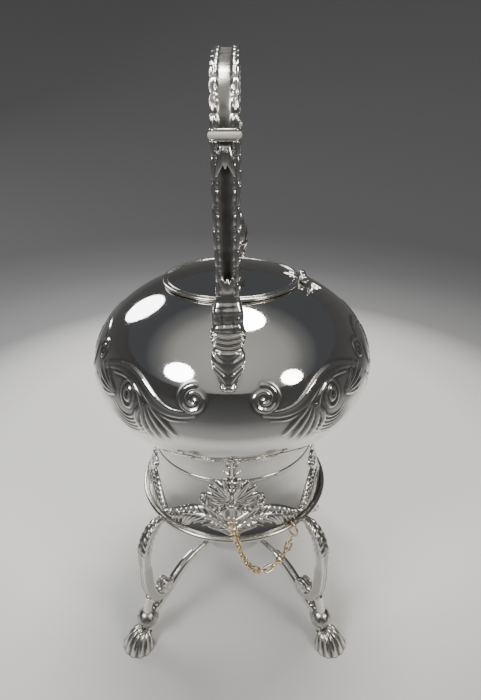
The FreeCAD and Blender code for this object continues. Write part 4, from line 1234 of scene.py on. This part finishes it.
def torus(mesh, centre, radius, wire, normal, around=64, section=18):
    normal = np.asarray(normal, float)
    normal /= np.linalg.norm(normal)
    first = np.cross(normal, (0.0, 0.0, 1.0))
    first /= np.linalg.norm(first)
    second = np.cross(normal, first)
    a = np.linspace(0, TURN, around, endpoint=False)[:, None]
    b = np.linspace(0, TURN, section, endpoint=False)[None, :]
    out = np.cos(a)[..., None] * first + np.sin(a)[..., None] * second
    reach = (radius + wire * np.cos(b))[..., None]
    points = np.asarray(centre, float) + reach * out + (wire * np.sin(b))[..., None] * normal
    mesh.grid(points, wrap_u=True, wrap_v=True)


def lock_parts():
    """The guide boss on the apron, the pin with its ball, and its pull ring."""
    guide_low, guide_high = low("lock_guide"), high("lock_guide")
    z = (guide_low[2] + guide_high[2]) / 2
    pin_low, pin_high = low("lock_pin"), high("lock_pin")
    guide = Mesh()
    y0 = guide_low[1]
    barrel(guide, (0, 0, z), 1, [(y0, 1.75), (y0, 2.9), (y0 + 0.6, 3.5), (y0 + 1.6, 3.4), (y0 + 2.4, 2.9),
                                 (y0 + 4.4, 3.0), (y0 + 5.6, 3.9), (y0 + 7.2, 4.15), (y0 + 9.4, 4.15),
                                 (y0 + 9.4, 1.75)])
    guide.make("lock_guide_boss", CAST, "stand", ["lock_guide"])
    pin = Mesh()
    tip, tail = pin_high[1], pin_low[1]
    barrel(pin, (0, 0, z), 1, [(tail, 0.3), (tail + 0.15, 1.4), (tail + 0.8, 2.3), (tail + 2.2, 2.55),
                               (tail + 3.6, 2.1), (tail + 4.4, 1.58), (tip - 1.2, 1.58), (tip - 0.3, 1.2),
                               (tip, 0.5)])
    pin.make("lock_pin_turned", FITTINGS, "lock_pin", ["lock_pin"])
    ring_low, ring_high = low("lock_pin_ring"), high("lock_pin_ring")
    ring = Mesh()
    wire = 0.95
    torus(ring, (ring_low + ring_high) / 2, (ring_high[2] - ring_low[2]) / 2 - wire, wire, (0, 1, 0))
    ring.make("lock_pin_pull_ring", FITTINGS, "lock_pin", ["lock_pin_ring"])
    anchor = Mesh()
    centre = (low("chain_anchor") + high("chain_anchor")) / 2
    wire = 0.8
    torus(anchor, centre, (high("chain_anchor") - low("chain_anchor"))[2] / 2 - wire, wire,
          (-math.sin(ANCHOR_TURN), math.cos(ANCHOR_TURN), 0))
    anchor.make("chain_jump_ring", GILT, "stand", ["chain_anchor"])


def chain():
    """Eighteen separate oval links that hang in a catenary from the pull ring to the jump ring."""
    links, pitch, wire = 18, 6.0, 0.82
    ball, drop_to_ring = 2.6, 13.0
    start = np.array([0.0, (low("lock_pin_ring")[1] + high("lock_pin_ring")[1]) / 2,
                      high("lock_pin")[2] - ball - drop_to_ring])
    out = np.array([math.cos(ANCHOR_TURN), math.sin(ANCHOR_TURN), 0.0])
    end = out * (RING_R + 1.6) + np.array([0, 0, RING_Z - 10.2])
    flat = np.array([end[0] - start[0], end[1] - start[1], 0.0])
    span = np.linalg.norm(flat)
    flat /= span
    drop = start[2] - end[2]
    target = math.sqrt((links * pitch) ** 2 - drop ** 2) / span
    below, above = 0.01, 20.0
    for _ in range(60):
        middle = (below + above) / 2
        below, above = (middle, above) if math.sinh(middle) / middle < target else (below, middle)
    scale = span / (2 * below)
    lowest = span / 2 + scale * math.asinh(drop / (2 * scale * math.sinh(below)))
    straight, bend = 3.3, 2.15
    t = np.linspace(0, 1, 9)[:-1]
    oval = []
    for end_sign, begin in ((1, 90), (-1, 270)):
        oval += [(end_sign * straight / 2 + bend * math.cos(a), bend * math.sin(a))
                 for a in np.radians(begin - 180 * t)]
    oval = np.array(oval)
    section = np.linspace(0, TURN, 12, endpoint=False)
    centre_out = np.array([(x - np.clip(x, -straight / 2, straight / 2), y) for x, y in oval])
    centre_out /= np.linalg.norm(centre_out, axis=1)[:, None]
    mesh = Mesh()
    for number in range(links):
        run = (number + 0.5) * pitch - scale * math.sinh(lowest / scale)
        u = lowest + scale * math.asinh(run / scale)
        z = scale * (math.cosh((u - lowest) / scale) - math.cosh(lowest / scale))
        slope = math.atan(math.sinh((u - lowest) / scale))
        roll = math.radians(45 + 90 * (number % 2))
        tangent = flat * math.cos(slope) + np.array([0, 0, math.sin(slope)])
        level = np.cross((0, 0, 1.0), flat)
        up = np.cross(tangent, level)
        across = level * math.cos(roll) + up * math.sin(roll)
        normal = np.cross(tangent, across)
        ring = oval[:, None, :] + wire * np.cos(section)[None, :, None] * centre_out[:, None, :]
        points = (start + flat * u + np.array([0, 0, z]) + ring[..., 0:1] * tangent + ring[..., 1:2] * across
                  + (wire * np.sin(section))[None, :, None] * normal)
        mesh.grid(points, wrap_u=True, wrap_v=True)
    piece = mesh.make("lock_chain_links", GILT, None, ["lock_chain"])
    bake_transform(piece)


# ---------------------------------------------------------------------------
# Burner
# ---------------------------------------------------------------------------

def burner():
    z = BURNER_LOW + 3.0
    ring = Mesh()
    ring_low, ring_high = low("burner_ring"), high("burner_ring")
    r = ring_high[0]
    rows = [(28.1, ring_low[2] + 0.4), (28.5, ring_low[2]), (r - 1.6, ring_low[2]),
            (r - 0.3, ring_low[2] + 0.7), (r, ring_low[2] + 2.2), (r - 0.3, ring_high[2] - 0.7),
            (r - 1.2, ring_high[2]), (28.5, ring_high[2]), (28.1, ring_high[2] - 0.4)]
    lathe(ring, rows, 160, closed=True)
    ring.make("burner_ring_plate", FITTINGS, "stand", ["burner_ring"])

    tank = Mesh()
    wall = [(0.3, z - 3), (26.6, z - 3), (27.4, z - 2.4), (27.4, z), (32.4, z), (35.6, z + 1.0),
            (37.8, z + 3.4), (38.4, z + 7), (38.45, z + 12), (37.6, z + 15.6), (34.0, z + 18.4),
            (28, z + 20.6), (20, z + 21.6), (13.4, z + 22.0), (13.0, z + 22.8), (13.0, z + 25.9),
            (12.2, z + 25.9), (12.1, z + 21.4)]
    # painted shade: the reservoir's wall is darkened evenly, for the shade under the stand
    lathe(tank, smooth_line(wall[3:14], 5), 192, tarnish_and_shade=0.42)
    lathe(tank, wall[:4], 192)
    lathe(tank, wall[13:], 192)
    bead = [(38.2 + 0.7 * math.cos(t), z + 13.4 + 0.7 * math.sin(t)) for t in np.linspace(0, TURN, 13)[:-1]]
    lathe(tank, [(min(r_, 38.5), z_) for r_, z_ in bead], 192, closed=True)
    tank.make("burner_reservoir_spun", POLISHED, "burner", ["burner_reservoir"])

    top = Mesh()
    crown = [(5.2, z + 26.0), (14.3, z + 26.0), (14.5, z + 26.5), (14.5, z + 28.5), (13.9, z + 29.1),
             (9.6, z + 30.4), (8.6, z + 31.6), (8.3, z + 36.8), (8.5, z + 37.5), (8.1, z + 38.0),
             (5.4, z + 38.0), (5.15, z + 37.6)]
    lathe(top, crown, 180, lambda a, h: np.where((h > z + 26.2) & (h < z + 28.8),
                                                 0.28 * np.cos(45 * a) - 0.28, 0.0), closed=True)
    for sign in (-1, 1):
        barrel(top, (10.2, 0, z + 34.0), 1, [(sign * 1.2 - 1.2, 0.95), (sign * 1.2 - 1.2, 1.9),
                                             (sign * 1.2 + 1.2, 1.9), (sign * 1.2 + 1.2, 0.95)], 24)
    top.make("burner_screw_top", FITTINGS, "burner", ["burner_top"])

    wick = Mesh()
    frayed = [(4.9, z + 30.0), (4.95, z + 37.0), (4.9, z + 38.6), (4.3, z + 39.6), (2.6, z + 39.95),
              (0.3, z + 39.8)]
    lathe(wick, smooth_line(frayed, 5), 96,
          lambda a, h: 0.16 * np.cos(24 * a + h * 3.0) * (h > z + 30.2) - 0.16)
    wick.make("burner_wick_cotton", WICK, "burner", ["burner_wick"])

    cap = Mesh()
    c = z + 38.5
    shell = [(8.8, c + 0.0), (9.45, c + 0.2), (9.5, c + 1.2), (9.1, c + 1.7), (9.2, c + 7.6), (8.2, c + 10.0),
             (5.8, c + 11.9), (2.2, c + 12.7), (1.4, c + 12.95), (0.3, c + 13.0)]
    inside = [(0.3, c + 12.0), (3.4, c + 11.6), (6.4, c + 10.2), (8.2, c + 7.6), (8.72, c + 0.1)]
    lathe(cap, smooth_line(shell, 5), 120)
    lathe(cap, inside, 120)
    for sign in (-1, 1):
        y = sign * 3.75
        arm = np.array([(10.2, y, z + 34.0), (11.6, y, z + 36.5), (11.4, y, z + 39.4), (9.6, y, z + 41.6)])
        sweep(cap, smooth_line(arm, 6), (0, 1, 0), [0.8, 0.8, 0.8], [1.7, 1.3, 1.1], 0.6, 24)
    cap.make("snuffer_cap_spun", FITTINGS, "snuffer", ["snuffer_cap"])


# ---------------------------------------------------------------------------
# Camera, floor and light
# ---------------------------------------------------------------------------

EYE = (0.00865, -0.33094, 0.39541)                    # metres, as are the floor's and lamps' places
EYE_TURN = (0.44, 26.5, -0.38)                        # degrees: yaw, down and roll
FOCAL_LENGTH = 25.09                                  # millimetres, on a frame 36 mm tall
PAINTED_POOL_CENTRE = 0.23                                    # the painted pool of light on the floor is centred a little behind the stand
FLOOR_R = 1.0                                         # where the floor starts to curve up
WALL_BEND = 0.7


def camera():
    """A pinhole above the kettle's shoulder, behind the rear of the handle, tipped down and barely rolled."""
    lens = bpy.data.cameras.new("camera")
    lens.sensor_fit = "VERTICAL"
    lens.sensor_height = 36.0
    lens.lens = FOCAL_LENGTH
    lens.clip_start = 0.01
    lens.clip_end = 50.0
    eye = bpy.data.objects.new("camera", lens)
    bpy.context.scene.collection.objects.link(eye)
    yaw, down, roll = (math.radians(a) for a in EYE_TURN)
    tip = Matrix.Rotation(math.pi / 2 - down, 4, "X")
    turn = Matrix.Rotation(yaw, 4, "Z") @ tip @ Matrix.Rotation(roll, 4, "Z")
    eye.matrix_world = Matrix.Translation(EYE) @ turn
    bpy.context.scene.camera = eye


def floor():
    """A round floor whose rim curves up into a wall; its colour is a painted pool of light, palest a little
    behind the stand and darkening outwards and up the wall.
    """
    around = 96
    bend = np.radians(np.linspace(-90, 0, 14))
    sunk = 0.0002
    profile = [(0.0, 0.0), (0.25, 0.0), (0.6, 0.0)]
    profile += [(FLOOR_R + WALL_BEND * math.cos(a), WALL_BEND + WALL_BEND * math.sin(a)) for a in bend]
    profile.append((FLOOR_R + WALL_BEND, 1.0))
    turn = np.linspace(0, TURN, around, endpoint=False)
    points = [(r * math.cos(t), r * math.sin(t), z - sunk) for r, z in profile[1:] for t in turn]
    points.append((0.0, 0.0, -sunk))
    faces = [(k, (k + 1) % around, len(points) - 1) for k in range(around)]
    for row in range(len(profile) - 2):
        for k in range(around):
            n = (k + 1) % around
            faces.append((row * around + k, row * around + n, (row + 1) * around + n, (row + 1) * around + k))
    mesh = bpy.data.meshes.new("studio_floor")
    mesh.from_pydata(points, [], faces)
    smooth_outwards(mesh)
    nodes = Nodes("studio_floor")
    nodes.shader.inputs["Roughness"].default_value = 0.9
    nodes.shader.inputs["Specular IOR Level"].default_value = 0.2
    centred = nodes.add("VectorMath")
    centred.operation = "SUBTRACT"
    nodes.link(nodes.add("TexCoord").outputs["Object"], centred.inputs[0])
    centred.inputs[1].default_value = (0.0, PAINTED_POOL_CENTRE, 0.0)
    reach = nodes.add("VectorMath")
    reach.operation = "LENGTH"
    nodes.link(centred.outputs["Vector"], reach.inputs[0])
    # painted light: the colour fades from a pale pool round the stand to dark at the rim and up the wall
    painted_pool_tones = [(0.0, (0.78, 0.77, 0.75)), (0.31, (0.75, 0.74, 0.725)), (0.41, (0.58, 0.575, 0.565)),
             (0.51, (0.24, 0.24, 0.242)), (0.75, (0.15, 0.15, 0.153)), (1.0, (0.10, 0.10, 0.103))]
    nodes.link(nodes.ramp(reach.outputs["Value"], painted_pool_tones), nodes.shader.inputs["Base Color"])
    mesh.materials.append(nodes.material)
    piece = bpy.data.objects.new("studio_floor", mesh)
    bpy.context.scene.collection.objects.link(piece)


def lamp(name, place, target, size, power, colour=(1.0, 1.0, 1.0)):
    light = bpy.data.lights.new(name, "AREA")
    light.shape = "ELLIPSE"
    light.size, light.size_y = size
    light.energy = power
    light.color = colour
    holder = bpy.data.objects.new(name, light)
    bpy.context.scene.collection.objects.link(holder)
    holder.location = place
    direction = np.array(target, float) - np.array(place, float)
    yaw = math.atan2(direction[1], direction[0]) - math.pi / 2
    pitch = math.atan2(direction[2], math.hypot(direction[0], direction[1]))
    holder.rotation_euler = (math.pi / 2 + pitch, 0.0, yaw)


def lights():
    centre = (0, 0, 0.22)
    lamp("window", (-0.85, -0.75, 1.15), centre, (0.55, 0.5), 10, (0.94, 0.97, 1.0))
    lamp("ceiling", (0.1, 0.35, 1.7), centre, (0.7, 0.6), 24, (1.0, 0.98, 0.95))
    lamp("right_lamp", (0.95, -0.75, 0.95), centre, (0.4, 0.4), 6, (1.0, 0.95, 0.87))
    lamp("far_left", (-0.9, 0.95, 0.9), centre, (0.5, 0.6), 7, (0.97, 0.98, 1.0))
    world = bpy.data.worlds.new("studio")
    world.use_nodes = True
    # a dim room, with a soft glow overhead and a little towards the back of the kettle
    tree = world.node_tree
    facing = tree.nodes.new("ShaderNodeVectorMath")
    facing.operation = "DOT_PRODUCT"
    facing.inputs[1].default_value = (0.0, -0.42, 0.907)
    tree.links.new(tree.nodes.new("ShaderNodeTexCoord").outputs["Generated"], facing.inputs[0])
    ramp = tree.nodes.new("ShaderNodeValToRGB")
    fill_ramp(ramp, [(0.50, (0.070, 0.073, 0.080)), (0.66, (0.16, 0.162, 0.165)),
                     (0.80, (0.36, 0.355, 0.34)), (1.0, (0.46, 0.45, 0.43))])
    tree.links.new(facing.outputs["Value"], ramp.inputs["Fac"])
    tree.links.new(ramp.outputs["Color"], tree.nodes["Background"].inputs["Color"])
    bpy.context.scene.world = world


kettle_body()
lid()
lid_hinge()
finial()
handle()
spout()
apron()
sprays()
legs()
shell_feet()
braces()
tilt_hinge()
lock_parts()
chain()
burner()
for node in ("lid_flange", "finial_nut", "handle_pins", "lock_lug", "snuffer_pin"):
    frame["nodes"][node].data.materials.clear()
    frame["nodes"][node].data.materials.append(FITTINGS)
camera()
floor()
lights()

import json
